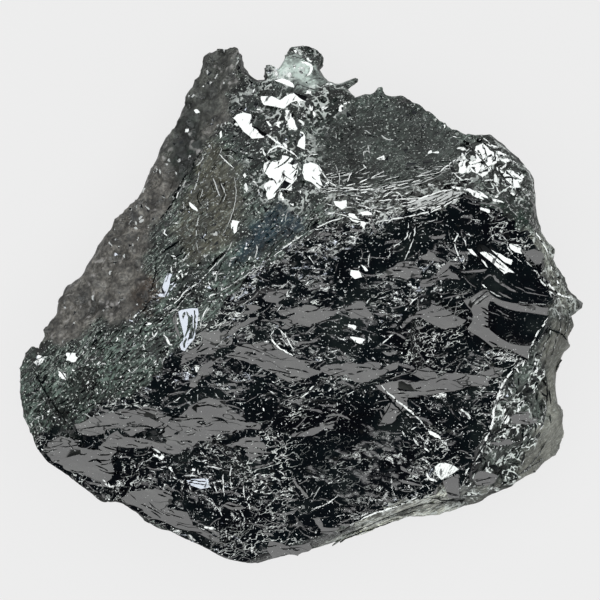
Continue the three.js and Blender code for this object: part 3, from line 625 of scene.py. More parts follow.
# Facets that flash whole, with edges only a little torn, as (light, outline).
BLAZES = {
    "shard_blaze": ("back_high", [(-3.35, 9.1), (-2.85, 9.4), (-2.45, 9.3), (-2.35, 9), (-2.4, 8.7),
                                  (-2.1, 8.6), (-1.65, 8.3), (-1.8, 8.1), (-2.4, 8.05), (-2.8, 8.4),
                                  (-3.1, 8.8)]),
    "wedge": ("back_high", [(-0.75, 9.5), (-0.55, 9.5), (-0.35, 9.1), (-0.1, 8.55), (-0.5, 8.5),
                            (-0.62, 8.9)]),
    "wedge_low": ("back_high", [(0, 8.45), (0.15, 8.4), (0.3, 7.9), (0.25, 7.5), (-0.15, 7.7),
                                (0.05, 8.1)]),
    "north_band": ("back_high", [(-1.95, 10.2), (-1.4, 10.2), (-1, 10), (-0.7, 10.2), (-0.3, 10.38),
                                 (0.35, 10.15), (0.3, 9.9), (-0.1, 9.95), (-0.5, 9.85), (-0.8, 9.55),
                                 (-1.2, 9.65), (-1.8, 9.75)]),
    "north_chip": ("back_high", [(-1.3, 11), (-0.9, 11.1), (-0.3, 10.85), (-0.3, 10.6), (-0.7, 10.75)]),
    "east_blaze": ("back_high", [(0.1, 6.35), (0.2, 6.8), (0.5, 6.9), (0.9, 6.75), (1.1, 6.5), (1, 6.1),
                                 (1.25, 5.7), (0.95, 5.55), (0.55, 5.9), (0.25, 6)]),
    "pocket_ridge": ("back_high", [(-7.5, -7.45), (-7.1, -7.6), (-6.75, -7.85), (-6.9, -8),
                                   (-7.3, -7.8)]),
    "pocket_ridge_two": ("back_high", [(-6.65, -8.2), (-6.3, -8.35), (-6, -8.6), (-6.25, -8.68),
                                       (-6.6, -8.4)]),
    "pocket_ridge_three": ("back_high", [(-5.75, -8.3), (-5.2, -8.42), (-5.25, -8.55), (-5.8, -8.45)]),
    "pocket_ridge_four": ("back_blue", [(-5.8, -8.85), (-5.1, -8.9), (-4.6, -8.95), (-4.5, -9.35),
                                        (-4.95, -9.45), (-5.6, -9.25)]),
    "slope_chip": ("back_high", [(-3.45, 3.6), (-3.4, 4), (-3, 3.95), (-3.15, 3.45), (-3.3, 3.3)]),
    "pearl": ("back_high", [(2.5, 1.65), (2.9, 1.5), (3.1, 1.15), (2.75, 1.05), (2.5, 1.25)]),
    "pearl_tail": ("back_high", [(2.95, 1.9), (3.1, 1.85), (3.4, 1.45), (3.25, 1.45)]),
}

# Flat facets whose edges stay smooth, as (light, outline).
SMOOTH_FACETS = {
    "fan_arm": ("level", [(8.15, 0), (8.5, 0.08), (8.8, 0.3), (9.1, 0.5), (9.35, 0.52), (9.5, 0.3),
                          (9.75, 0.12), (10.1, -0.03), (10.6, -0.15), (11.2, -0.2), (11.8, -0.2),
                          (12.45, -0.35), (12.35, -0.78), (11.9, -0.7), (11.4, -0.62), (10.8, -0.55),
                          (10.3, -0.42), (9.9, -0.25), (9.65, -0.1), (9.5, -0.05), (9.4, -0.3),
                          (9.42, -0.9), (9.4, -1.3), (9.5, -1.5), (10, -1.9), (10.5, -2.18), (11, -2.28),
                          (11.5, -2.3), (11.4, -2.95), (11, -2.75), (10.5, -2.48), (10, -2.35),
                          (9.6, -2.35), (9.25, -2.05), (8.9, -1.8), (8.6, -1.65), (8.35, -1.45),
                          (8.6, -1.1), (8.65, -0.75), (8.55, -0.5), (8.35, -0.3)]),
    "plume": ("back_high", [(8.95, 2.8), (9.2, 2.75), (9.42, 2.58), (9.9, 2.05), (10.4, 1.62),
                            (10.72, 1.35), (10.4, 1.4), (10.2, 1.3), (10, 1.5), (9.5, 1.95), (9.05, 2.3),
                            (8.8, 2.55)]),
    "south_east_facet": ("back_high", [(6.73, -8.3), (6.94, -8.1), (7.24, -7.98), (7.95, -8.46),
                                       (7.5, -8.76), (7.06, -8.98), (6.82, -8.75)]),
    "corner_facet": ("level", [(6.6, -9.7), (6.88, -9.22), (7.12, -9.03), (7.6, -8.8), (7.95, -8.63),
                               (7.95, -9.1), (7.97, -9.9), (7.43, -9.92)]),
    "striped_fan": ("back_blue", [(-6.1, -0.58), (-5.94, -0.5), (-5.43, -0.41), (-5.12, -0.42),
                                  (-5.07, -0.64), (-5.16, -1.39), (-5.28, -1.94), (-5.51, -2.2),
                                  (-5.75, -2.55), (-5.98, -2.47), (-6.02, -2.2), (-5.79, -1.86),
                                  (-5.87, -1.5), (-6, -1.04)]),
    "blue_streak": ("back_blue", [(-7.28, 0.02), (-6.99, 0.42), (-6.77, 1), (-6.63, 1.36), (-6.38, 1.28),
                                  (-6.5, 1.05), (-6.51, 0.77), (-6.61, 0.46), (-6.77, 0.14), (-7, 0.18)]),
    "plume_two": ("back_high", [(9.46, 2.6), (9.5, 2.78), (9.62, 2.66), (9.8, 2.45), (10.3, 2.12),
                                (10.62, 2), (10.55, 1.76), (10.2, 1.9), (9.94, 2.14), (9.65, 2.42)]),
}

SEED = 7  # of the random draws
STEP_WANDER = 0.12  # how far the sides of the level steps are torn aside, in parts of a side's length
FLASH_WANDER = 0.14  # the same for the facets that flash
BLAZE_WANDER = 0.07  # the same for the bright facets at the top
STEP_ROUNDS = 3  # times that the sides of the level steps are broken in two
FACET_ROUNDS = 2  # the same for all other torn outlines
TEAR_BEARING = -12  # degrees, the way that torn sides mostly run
TEAR_TRIES = 20  # goes at an outline that doesn't cross itself
GENTLER = 0.8  # how far each go tears, in parts of the one before

SHARD_SIDES = (0.15, 0.65)  # how far a shard's sides lie from its middle, in parts of its width
SHARD_BEND = 0.16  # the most that a shard is bent, in parts of its length
SHARD_SLIP = 0.04  # the most that its corners slip along it, in parts of its length
FALL_SPREAD = 0.02  # how unevenly strewn splinters face their light
SPLINTER_REACH = 0.6  # mm that a strewn splinter is filled in below and cut free above
FACET_REACH = 0.7  # mm that a strewn facet may lie above and below the rough surface, in all
FACET_MARGIN = 1.1  # how much wider than the facet the surface is looked at
ROOM = 0.03  # mm around a strewn shard, within which others are tested for crossing it
ROUND_ROOM = 0.06  # mm around a named facet that is clear of all others in the same go

LEVEL_SLITS = 3.5  # dark slits in each square millimetre of a level step
FLASH_SLITS = 4.0  # the same in a facet that flashes
SLIT_LENGTHS = (0.3, 1.4)  # mm
SLIT_WIDTHS = (0.05, 0.11)  # mm
SLIT_FALLS = (0.6, 1.0)  # how steeply a slit's floor falls across it
SLIT_SPREAD = 10  # degrees
SLIT_DEPTH = 0.03  # mm below the facet
SLIT_CUT = 0.5  # mm that is cut free above a slit's floor

LEAST_FILL = 0.8  # mm of stone that is filled in below a named facet, at the least
LEAST_CUT = 1.2  # mm that is cut away above a named facet, at the least
KEYED = 0.3  # mm that a fill reaches into the stone
STRIP_STEP = 0.13  # mm between the points along a long splinter
STRIP_RUN = 5  # steps in each of the short facets that a long splinter is made of
STRIP_END = 0.2  # the width of its ends, in parts of its full width
STRIP_WIDTHS = (0.75, 1.25)  # how its width varies
UNSTEADY = 0.012  # mm that its points stray
CRACK_FALL = 0.8  # how steeply a crack's floor falls across it

# Splinters strewn at random, as (zone, count, lengths in mm, widths in mm, bearing, spread, lights). The
# fan and the bowl stay clear.
STREWN = [
    (FRACTURE, 130, (0.4, 1.5), (0.06, 0.18), -12, 20, ("level",)),
    (FRACTURE, 380, (0.25, 1.0), (0.03, 0.07), 5, 35, ("level",)),
    (FRACTURE, 420, (0.15, 0.7), (0.025, 0.05), 20, 45, ("back_faint", "back_clear")),
    (FRACTURE, 260, (0.08, 0.25), (0.04, 0.08), 20, 60, ("back_high", "back_clear")),
    (BROW, 330, (0.2, 0.9), (0.03, 0.07), 16, 25, ("back_clear", "back_clear", "shade")),
    (SWEEP, 90, (0.5, 1.8), (0.025, 0.045), 8, 8, ("back_clear", "back_faint")),
    (GREEN_SLOPE, 300, (0.2, 0.9), (0.03, 0.1), 42, 22, ("shade", "shade", "back_faint")),
    (GREEN_SLOPE, 170, (0.08, 0.3), (0.04, 0.1), 42, 40, ("back_clear", "back_high")),
    (BROWN_PATCH, 30, (0.2, 0.7), (0.03, 0.07), 70, 20, ("shade", "back_faint")),
    (RIM, 40, (0.12, 0.35), (0.07, 0.14), 75, 18, ("left_back",)),
    (TOP_SHARDS, 80, (0.15, 0.6), (0.06, 0.25), -35, 40, ("back_high", "back_clear", "shade")),
    (DISH, 60, (0.1, 0.4), (0.03, 0.06), 15, 25, ("back_faint", "shade")),
    (CORNER, 70, (0.15, 0.6), (0.05, 0.2), -40, 35, ("back_low", "back_clear", "shade")),
    (POCKET, 110, (0.1, 0.5), (0.03, 0.07), 60, 60, ("back_clear", "back_high")),
    (INNER_BAND, 190, (0.15, 0.6), (0.05, 0.12), 70, 60, ("back_high", "back_high", "shade")),
]

# Tints of the older surfaces, as (zone, softness in mm, colour, calm). Later ones lie over earlier ones.
# Calm places, near 1, have few fibres and flecks. Some tints are partly or wholly painted light, as told at
# each.
TINTS = [
    (DISH, 1.2, (0.023, 0.030, 0.026), 0.45),
    (TOP_SHARDS, 1.0, (0.015, 0.021, 0.018), 0.1),
    # A painted highlight: pale colour where the polish blazes white.
    (PAINTED_GLOW, 0.7, (0.640, 0.760, 0.700), 1.0),
    (BROW, 0.8, (0.080, 0.085, 0.078), 0.0),
    (CORNER, 0.8, (0.030, 0.036, 0.032), 0.1),
    (EAST_SLOPE, 0.6, (0.013, 0.022, 0.017), 0.3),
    (BROWN_PATCH, 0.8, (0.056, 0.056, 0.040), 0.55),
    (SLOPE_TOE, 0.6, (0.022, 0.034, 0.028), 0.35),
    (BLUE_STAIN, 0.6, (0.001, 0.017, 0.028), 0.7),
    (RIM, 0.5, (0.118, 0.113, 0.100), 0.0),
    (HORN, 1.2, (0.060, 0.065, 0.056), 0.0),
    (SHADY_SADDLE, 0.8, (0.016, 0.022, 0.018), 0.0),
    (BROWN_FOOT, 0.6, (0.040, 0.029, 0.020), 0.0),
    (EDGE_BAND, 0.4, (0.055, 0.069, 0.060), 0.4),
    # The two pale tints below are partly the edge band's own pale olive grey and partly painted reflection of
    # the pale floor.
    (EAST_EDGE, 0.5, (0.160, 0.170, 0.145), 0.2),
    (OUTER_BAND, 0.6, (0.188, 0.193, 0.168), 0.75),
    (FRACTURE, 0.2, (0.010, 0.012, 0.012), 0.0),
    (FAN, 0.4, (0.010, 0.012, 0.012), 1.0),
    (BOWL, 1.0, (0.010, 0.012, 0.012), 0.6),
    # The bottom edge's pale tint is painted reflection: it stands for the pale floor mirrored in that
    # downward-facing edge.
    (BOTTOM_EDGE, 0.2, (0.420, 0.435, 0.380), 0.4),
]
SLOPE_TINT = (0.035, 0.049, 0.041)  # everywhere else
FOOT_TINT = (0.014, 0.018, 0.016)  # low on the walls and underneath
FOOT_CALM = 0.6  # how calm they are there
UNDER_CALM = 0.88  # the least calm of surfaces that face down
FOOT_LEVEL = 6.5  # mm above the floor, where the walls begin to take the foot's tint
FOOT_BLEND = 3.0  # mm lower, where they have taken it all
FOOT_WAVE = 0.8  # mm that the foot's upper end goes up and down
WALL_UPWARD = 0.35  # how far up a face of the CAD solid looks where the walls begin

# Zones that are curled and crumbled, as (zone, softness in mm, how much).
CURLED = [
    (TOP_SHARDS, 1.0, 0.6),
    (BROW, 0.6, 0.6),
    (CORNER, 0.8, 0.9),
    (EAST_EDGE, 0.4, 0.6),
    (BOTTOM_EDGE, 0.3, 0.5),
    (INNER_BAND, 0.3, 1.0),
]

# The finishes of the stone's faces, as the numbers of its material slots.
MIRROR, SPLINTERED, SLOPE, SKIN, STREAKED = range(5)
FACING_ALIKE = 0.9996  # the cosine of a degree and a half, within which a facet faces a light
UPPER_SIDE = 0.05  # how far up a face looks at the least, to be on the upper side
STEEP_SIDE = 0.45  # how far up it looks at the most, to be broken steeply
BAND_UNDERSIDE = -0.3  # how far down it looks at the most, to have the band's finish
GLASS_IOR = 1.66

# Lights, with brightness as radiance. The soft panel is seen by matt surfaces and the window by polish.
LIGHT_DISTANCE = 0.6  # metres from the stone
WINDOW_DISTANCE = 0.5  # metres
PANEL_HALF_ANGLE = 26  # degrees
WINDOW_HALF_ANGLE = 7.5  # degrees
CEILING_BRIGHTNESS = 2.7
BLUISH = (0.84, 0.9, 1)
GREENISH = (0.96, 1, 0.98)
FLOOR_GLOW = 0.77  # the paper's own light
FLOOR_GLOW_IN_POLISH = 0.34  # the same as polish mirrors it
ROOM_SEEN = (0.83, 0.83, 0.835)
ROOM_LIGHT = (0.42, 0.42, 0.425)
ROOM_IN_POLISH = (0.026, 0.032, 0.04)


def deselect_all():
    for thing in bpy.context.selected_objects:
        thing.select_set(False)


def make_active(thing):
    deselect_all()
    thing.select_set(True)
    bpy.context.view_layer.objects.active = thing


def apply_modifier(thing, kind, **settings):
    """Adds one modifier to the thing, sets it up and applies it."""
    make_active(thing)
    modifier = thing.modifiers.new(kind.lower(), kind)
    for setting, value in settings.items():
        setattr(modifier, setting, value)
    bpy.ops.object.modifier_apply(modifier=modifier.name)


def positions(thing):
    """The thing's vertices as an array of x, y, z rows."""
    flat = np.empty(len(thing.data.vertices) * 3)
    thing.data.vertices.foreach_get("co", flat)
    return flat.reshape(-1, 3)


def upward_of(thing):
    """How far up the surface looks at each vertex: 1 straight up, 0 sideways, -1 straight down."""
    flat = np.empty(len(thing.data.vertices) * 3)
    thing.data.vertices.foreach_get("normal", flat)
    return flat.reshape(-1, 3)[:, 2]


def as_seen(points):
    """Plan places of points, as they appear from the camera at the level SEEN_LEVEL."""
    scale = (EYE_HEIGHT - SEEN_LEVEL) / (EYE_HEIGHT - points[:, 2])
    return points[:, :2] * scale[:, None]


def depth_inside(plan, outline):
    """How far each plan point lies inside the outline, in millimetres. It is negative outside."""
    nearest = np.full(len(plan), np.inf)
    within = np.zeros(len(plan), dtype=bool)
    corners = np.array(outline, dtype=float)
    for start, end in zip(corners, np.roll(corners, -1, axis=0)):
        side = end - start
        along = np.clip(((plan - start) @ side) / (side @ side), 0, 1)
        nearest = np.minimum(nearest, np.linalg.norm(plan - start - along[:, None] * side, axis=1))
        crosses = (start[1] > plan[:, 1]) != (end[1] > plan[:, 1])
        if start[1] != end[1]:
            at = start[0] + side[0] * (plan[:, 1] - start[1]) / side[1]
            within ^= crosses & (plan[:, 0] < at)
    return np.where(within, nearest, -nearest)


def waves(first, second, parts):
    """A sum of sine waves, each given as (mm high, turns with the first value, turns with the second)."""
    return sum(high * np.sin(a * first + b * second) for high, a, b in parts)


def wavy(plan, level, walls):
    """The plan places shifted to and fro by up to a third of a millimetre, and on the walls by up to one more
    with the level, so that zones end unevenly."""
    x, y = plan.T
    shift_x = waves(x, y, [(0.16, 1.3, 3.1), (0.1, -2.2, 7.3), (0.06, 9, 15)])
    shift_y = waves(x, y, [(0.16, 2.7, -1.1), (0.1, 6.1, 3.4), (0.06, 14, -8)])
    drift = walls * (waves(level, x, [(0.6, 1.3, 0.5), (0.15, 9, 4)]) + waves(level, y, [(0.3, 3.9, -0.8)]))
    return np.column_stack([x + shift_x + drift, y + shift_y + drift])


def blend_in(depth, width):
    """0 at an outline and beyond it, rising smoothly to 1 at the width inside it."""
    share = np.clip(depth / width, 0, 1)
    return share * share * (3 - 2 * share)


def set_group(stone, name, weights):
    """A vertex group with a weight for each vertex, in WEIGHT_STEPS steps."""
    group = stone.vertex_groups.new(name=name)
    steps = np.round(np.clip(weights, 0, 1) * WEIGHT_STEPS).astype(int)
    for step in range(1, WEIGHT_STEPS + 1):
        members = np.flatnonzero(steps == step)
        if len(members):
            group.add(members.tolist(), step / WEIGHT_STEPS, "REPLACE")


def guide(name, bearing, stretch):
    """An empty that turns and stretches a displacement pattern."""
    empty = bpy.data.objects.new(name, None)
    bpy.context.scene.collection.objects.link(empty)
    empty.rotation_euler = (0, 0, math.radians(bearing))
    empty.scale = stretch
    bpy.context.view_layer.update()
    return empty


def clouds(name, size, depth=2, hard=False):
    texture = bpy.data.textures.new(name, "CLOUDS")
    texture.noise_scale = size
    texture.noise_depth = depth
    texture.noise_type = "HARD_NOISE" if hard else "SOFT_NOISE"
    return texture


def shells(name, size):
    """Cells of shallow bowls that meet in sharp ridges."""
    texture = bpy.data.textures.new(name, "VORONOI")
    texture.noise_scale = size
    texture.distance_metric = "DISTANCE_SQUARED"
    return texture


def roughen(stone, texture, strength, group, direction="NORMAL", middle=0.5, along=None):
    """Moves the group's surface by the texture, by up to about half the strength each way."""
    settings = dict(texture=texture, strength=strength, vertex_group=group, direction=direction,
                    mid_level=middle)
    if along:
        settings.update(texture_coords="OBJECT", texture_coords_object=along)
    apply_modifier(stone, "DISPLACE", **settings)


def start_stone():
    """A merged, evenly meshed copy of the CAD solid, in millimetres."""
    solid = bpy.data.objects["tourmaline_chunk"]
    stone = bpy.data.objects.new("fractured_stone", solid.data.copy())
    bpy.context.scene.collection.objects.link(stone)
    stone.data.materials.clear()
    stone.scale = (1 / MM,) * 3
    make_active(stone)
    bpy.ops.object.transform_apply(location=False, rotation=False, scale=True)
    bpy.ops.object.mode_set(mode="EDIT")
    bpy.ops.mesh.select_all(action="SELECT")
    bpy.ops.mesh.remove_doubles(threshold=MERGE)
    bpy.ops.object.mode_set(mode="OBJECT")
    apply_modifier(stone, "REMESH", mode="VOXEL", voxel_size=GRAIN)
    return stone


def mark_zones(stone):
    """Vertex groups for the zones, none of which reaches the resting face."""
    points = positions(stone)
    plan = as_seen(points)
    upward = upward_of(stone)
    free = np.clip((points[:, 2] - REST_SKIN) / REST_SKIN, 0, 1)
    top = blend_in(upward + 0.1, 0.25)
    fracture = top * blend_in(depth_inside(plan, FRACTURE), 0.35)
    fan = blend_in(depth_inside(plan, FAN) + 0.2, 0.5)
    bowl = blend_in(depth_inside(plan, BOWL), 1.0)
    rim = top * (1 - fracture) * blend_in(depth_inside(plan, RIM), 0.4)
    band = top * (1 - fracture) * (1 - rim) * blend_in(depth_inside(plan, EDGE_BAND), 0.2)
    dish = top * (1 - fracture) * blend_in(depth_inside(plan, DISH), 0.8)
    slopes = top * (1 - fracture) * (1 - rim) * (1 - band) * (1 - DISH_EVEN * dish)
    set_group(stone, "free", free)
    set_group(stone, "fracture", fracture * (1 - FAN_EVEN * fan) * (1 - BOWL_EVEN * bowl))
    set_group(stone, "rim", free * rim)
    set_group(stone, "band", free * band)
    set_group(stone, "dish", free * dish)
    set_group(stone, "slopes", free * slopes)
    set_group(stone, "underside", free * (1 - top))
    set_group(stone, "overhang", free * blend_in(-upward, 0.35))


def roughen_zones(stone):
    """The natural unevenness of each zone, before the sharp steps are struck."""
    roughen(stone, clouds("broad_swell", 4.5), 0.5, "free")
    streaked = guide("streaked", bearing=-12, stretch=(2.6, 1, 1))
    roughen(stone, clouds("fracture_swell", 1.3, 3), 0.55, "fracture", "Z", along=streaked)
    roughen(stone, shells("fracture_shells", 0.9), 0.3, "fracture", "Z", middle=0.2, along=streaked)
    roughen(stone, clouds("fracture_feathers", 0.4, 2), 0.2, "fracture", "Z", along=streaked)
    roughen(stone, clouds("fracture_grain", 0.3, 2, hard=True), 0.08, "fracture", "Z")
    fibrous = guide("fibrous", bearing=42, stretch=(5, 1, 1))
    roughen(stone, clouds("slope_swell", 1.6, 3), 0.4, "slopes")
    roughen(stone, clouds("slope_fibres", 0.32, 2), 0.16, "slopes", along=fibrous)
    roughen(stone, clouds("slope_crumbs", 0.25, 2, hard=True), 0.1, "slopes")
    sweep = guide("sweep", bearing=14, stretch=(6, 1, 1))
    roughen(stone, clouds("dish_ripples", 0.5, 2), 0.1, "dish", along=sweep)
    roughen(stone, shells("rim_dimples", 0.85), 0.4, "rim", middle=0.3)
    roughen(stone, clouds("rim_crumbs", 0.5, 3), 0.34, "rim")
    roughen(stone, shells("band_shells", 1.1), 0.35, "band", middle=0.3)
    roughen(stone, clouds("band_crumbs", 0.35, 3), 0.16, "band")
    roughen(stone, shells("under_shells", 3.2), 0.8, "underside", middle=0.3)
    roughen(stone, clouds("under_grain", 0.6, 3, hard=True), 0.1, "underside")
    roughen(stone, clouds("overhang_swell", 1.5, 4), 0.5, "overhang")
    upright = guide("upright", bearing=0, stretch=(1, 1, 5))
    roughen(stone, clouds("overhang_fibres", 0.4, 2), 0.16, "overhang", along=upright)


def seen_scale(level):
    """How much wider than as seen a plan is at the level."""
    return (EYE_HEIGHT - level) / (EYE_HEIGHT - SEEN_LEVEL)


def height_finder(stone):
    """A function that gives the stone's height at a plan place, or nothing where it is too low to strike."""
    tree = BVHTree.FromObject(stone, bpy.context.evaluated_depsgraph_get())

    def height(x, y):
        """The second look starts from the height that the first one found."""
        level = FACE_LEVEL
        for _ in range(2):
            above = Vector((x * seen_scale(level), y * seen_scale(level), EYE_HEIGHT))
            hit = tree.ray_cast(above, Vector((0, 0, -1)))[0]
            if hit is None or hit.z < LOWEST_FACET:
                return None
            level = hit.z
        return level

    return height


def area_of(outline):
    """The area in square millimetres, negative for a clockwise outline."""
    pairs = zip(outline, outline[1:] + outline[:1])
    return sum(start[0] * end[1] - end[0] * start[1] for start, end in pairs) / 2


def sides_cross(first, second):
    """Which sides of the first outline (rows) cross which sides of the second (columns)."""
    first = np.array(first)
    second = np.array(second)

    def side_of(outline, points):
        """On which side of each outline side (rows) each point (columns) lies."""
        run = (np.roll(outline, -1, axis=0) - outline)[:, None]
        to = points[None] - outline[:, None]
        return run[..., 0] * to[..., 1] - run[..., 1] * to[..., 0]

    one = side_of(first, second) * side_of(first, np.roll(second, -1, axis=0)) <= 0
    other = side_of(second, first) * side_of(second, np.roll(first, -1, axis=0)) <= 0
    return one & other.T


def crosses_itself(outline):
    """Whether two sides of the outline that are not neighbours cross."""
    count = len(outline)
    steps = (np.arange(count)[:, None] - np.arange(count)[None]) % count
    return bool(sides_cross(outline, outline)[(steps > 1) & (steps < count - 1)].any())


def box_of(outline, margin):
    """The least and greatest x and y of the outline, with a margin."""
    xs, ys = zip(*outline)
    return min(xs) - margin, min(ys) - margin, max(xs) + margin, max(ys) + margin


def apart(box, other):
    """Whether two boxes, each (least x, least y, greatest x, greatest y), keep clear of each other."""
    return box[2] < other[0] or other[2] < box[0] or box[3] < other[1] or other[3] < box[1]


def starts_inside(outline, other):
    return depth_inside(np.array([outline[0]]), other)[0] > 0


def takes_room(outline, taken):
    """Whether the outline keeps clear of those taken before. If it does, it is taken too."""
    box = box_of(outline, ROOM)
    for other_box, other in taken:
        if not apart(box, other_box):
            within = starts_inside(outline, other) or starts_inside(other, outline)
            if within or sides_cross(outline, other).any():
                return False
    taken.append((box, outline))
    return True


def ragged(outline, chance, wander, rounds=FACET_ROUNDS):
    """The outline with each side broken by random steps, most of all along TEAR_BEARING."""
    along = (math.cos(math.radians(TEAR_BEARING)), math.sin(math.radians(TEAR_BEARING)))
    for _ in range(TEAR_TRIES):
        torn = outline
        for _ in range(rounds):
            broken = []
            for start, end in zip(torn, torn[1:] + torn[:1]):
                span = math.dist(start, end)
                push = chance.uniform(-2, 2) * wander * span
                aside = chance.uniform(-0.5, 0.5) * wander * span
                middle = (
                    (start[0] + end[0]) / 2 + along[0] * push - along[1] * aside,
                    (start[1] + end[1]) / 2 + along[1] * push + along[0] * aside,
                )
                broken += [start, middle]
            torn = broken
        if not crosses_itself(torn):
            return torn
        wander *= GENTLER
    return outline


def facing(light):
    """How a facet's height falls with x and y, so that it mirrors the light, the ceiling or the dark."""
    if light == "level":
        return 0.0, 0.0
    bearing, zenith = SHADE if light == "shade" else GLINTS[light][:2]
    fall = math.tan(math.radians(zenith / 2))
    return fall * math.cos(math.radians(bearing)), fall * math.sin(math.radians(bearing))


def middle_of(outline):
    """The mean place of the outline's corners."""
    return sum(x for x, _ in outline) / len(outline), sum(y for _, y in outline) / len(outline)


def turned_from(start, end):
    """The way from one place to another, in radians anticlockwise from +X."""
    return math.atan2(end[1] - start[1], end[0] - start[0])


def facet_prisms(facets):
    """Closed prisms in one mesh, one for each facet (outline, level, fall, reach). One end of a prism lies in
    the facet's plane and the other is straight above or below it."""
    corners = []
    faces = []
    for outline, level, fall, reach in facets:
        ring = [(x * seen_scale(level), y * seen_scale(level)) for x, y in outline]
        if (area_of(ring) > 0) != (reach > 0):
            ring.reverse()
        middle_x, middle_y = middle_of(ring)
        near = [(x, y, level - fall[0] * (x - middle_x) - fall[1] * (y - middle_y)) for x, y in ring]
        far = [(x, y, z + reach) for x, y, z in near]
        first = len(corners)
        count = len(ring)
        corners += near + far
        faces.append([first + i for i in reversed(range(count))])
        faces.append([first + count + i for i in range(count)])
        for i in range(count):
            j = (i + 1) % count
            faces.append([first + i, first + j, first + count + j, first + count + i])
    mesh = bpy.data.meshes.new("facet_tool")
    mesh.from_pydata(corners, [], faces)
    tool = bpy.data.objects.new("facet_tool", mesh)
    bpy.context.scene.collection.objects.link(tool)
    return tool


def combine(stone, tool, operation):
    """Joins the tool to the stone or cuts it away, and removes the tool."""
    apply_modifier(stone, "BOOLEAN", operation=operation, object=tool, solver="MANIFOLD")
    bpy.data.objects.remove(tool)


def strike(stone, facets, fill, cut):
    """Fills and cuts the stone so that each facet, (outline, level, fall), is flat."""
    if fill:
        combine(stone, facet_prisms([(*facet, -fill) for facet in facets]), "UNION")
    combine(stone, facet_prisms([(*facet, cut) for facet in facets]), "DIFFERENCE")


def settled(outline, fall, height):
    """The level at which a facet lies on the stone, or nothing if the stone is too uneven or ends there."""
    middle_x, middle_y = middle_of(outline)
    levels = []
    for x, y in outline:
        found = height(middle_x + (x - middle_x) * FACET_MARGIN, middle_y + (y - middle_y) * FACET_MARGIN)
        if found is None:
            return None
        levels.append(found + (fall[0] * (x - middle_x) + fall[1] * (y - middle_y)) * seen_scale(FACE_LEVEL))
    if max(levels) - min(levels) > FACET_REACH:
        return None
    return sum(levels) / len(levels)


def strike_named(stone, facets):
    """Strikes facets given as (light or fall, outline) at the stone's own height, a few at a time so that
    none in one go touch each other. Each is filled down to the stone and cut free to the top."""
    height = height_finder(stone)
    rounds = []
    for light, outline in facets:
        fall = facing(light) if isinstance(light, str) else light
        middle_x, middle_y = middle_of(outline)
        places = [(x, y, found) for x, y in outline if (found := height(x, y)) is not None]
        if not places:
            continue
        level = sum(found for *_, found in places) / len(places)
        gaps = [level - fall[0] * (x - middle_x) - fall[1] * (y - middle_y) - found for x, y, found in places]
        fill = max(LEAST_FILL, max(gaps) + KEYED)
        cut = max(LEAST_CUT, KEYED - min(gaps))
        box = box_of(outline, ROUND_ROOM)
        for members, boxes in rounds:
            if all(apart(box, other) for other in boxes):
                break
        else:
            members, boxes = [], []
            rounds.append((members, boxes))
        members.append((outline, level, fall, fill, cut))
        boxes.append(box)
    for members, _ in rounds:
        combine(stone, facet_prisms([(*facet, -fill) for *facet, fill, _ in members]), "UNION")
        combine(stone, facet_prisms([(*facet, cut) for *facet, _, cut in members]), "DIFFERENCE")


def shard(x, y, length, width, bearing, chance):
    """An uneven pointed outline about a place, bent a little."""
    turn = math.radians(bearing)
    bend = chance.uniform(-SHARD_BEND, SHARD_BEND) * length
    upper = [(share, chance.uniform(*SHARD_SIDES)) for share in (0.36, 0.2, 0, -0.18, -0.34)]
    lower = [(share, -chance.uniform(*SHARD_SIDES)) for share in (-0.32, -0.15, 0.03, 0.2, 0.36)]
    outline = []
    for share, side in [(0.5, 0.0), *upper, (-0.5, 0.0), *lower]:
        along = (share + chance.uniform(-SHARD_SLIP, SHARD_SLIP)) * length
        across = side * width + bend * (1 - 4 * share * share)
        outline.append((x + along * math.cos(turn) - across * math.sin(turn),
                        y + along * math.sin(turn) + across * math.cos(turn)))
    return outline


def drawn_out(line, chance):
    """The line as a smooth, slightly unsteady curve, with a point every STRIP_STEP or so."""
    places = np.array([line[0], *line, line[-1]], dtype=float)
    points = []
    for before, start, end, after in zip(places, places[1:], places[2:], places[3:]):
        steps = max(2, round(math.dist(start, end) / STRIP_STEP))
        for share in np.arange(steps) / steps:
            first = (end - before) * share
            second = (2 * before - 5 * start + 4 * end - after) * share ** 2
            third = (3 * (start - end) + after - before) * share ** 3
            bent = (2 * start + first + second + third) / 2
            points.append((bent[0] + chance.gauss(0, UNSTEADY), bent[1] + chance.gauss(0, UNSTEADY)))
    points.append(line[-1])
    return points


def strip_pieces(light, width, line, chance):
    """A row of short facets (light or fall, outline) that make up a long splinter, thinnest at its ends."""
    middle = drawn_out(line, chance)
    last = len(middle) - 1
    left = []
    right = []
    for place, (x, y) in enumerate(middle):
        before = middle[max(place - 1, 0)]
        after = middle[min(place + 1, last)]
        turn = turned_from(before, after)
        fullness = STRIP_END + (1 - STRIP_END) * abs(math.sin(math.pi * place / last)) ** 0.6
        half = width * fullness * chance.uniform(*STRIP_WIDTHS) / 2
        left.append((x - half * math.sin(turn), y + half * math.cos(turn)))
        right.append((x + half * math.sin(turn), y - half * math.cos(turn)))
    side = chance.choice((-1, 1))
    facets = []
    for first in range(0, last, STRIP_RUN):
        final = min(first + STRIP_RUN, last)
        way = light
        if light == "crack":
            across = turned_from(middle[first], middle[final]) + math.pi / 2
            way = (side * CRACK_FALL * math.cos(across), side * CRACK_FALL * math.sin(across))
        facets.append((way, left[first:final + 1] + right[first:final + 1][::-1]))
    return facets


def long_way(outline):
    """The bearing of an outline's longest run."""
    spans = ((math.dist(a, b), a, b) for a in outline for b in outline)
    _, start, end = max(spans)
    return math.degrees(turned_from(start, end)) % 180


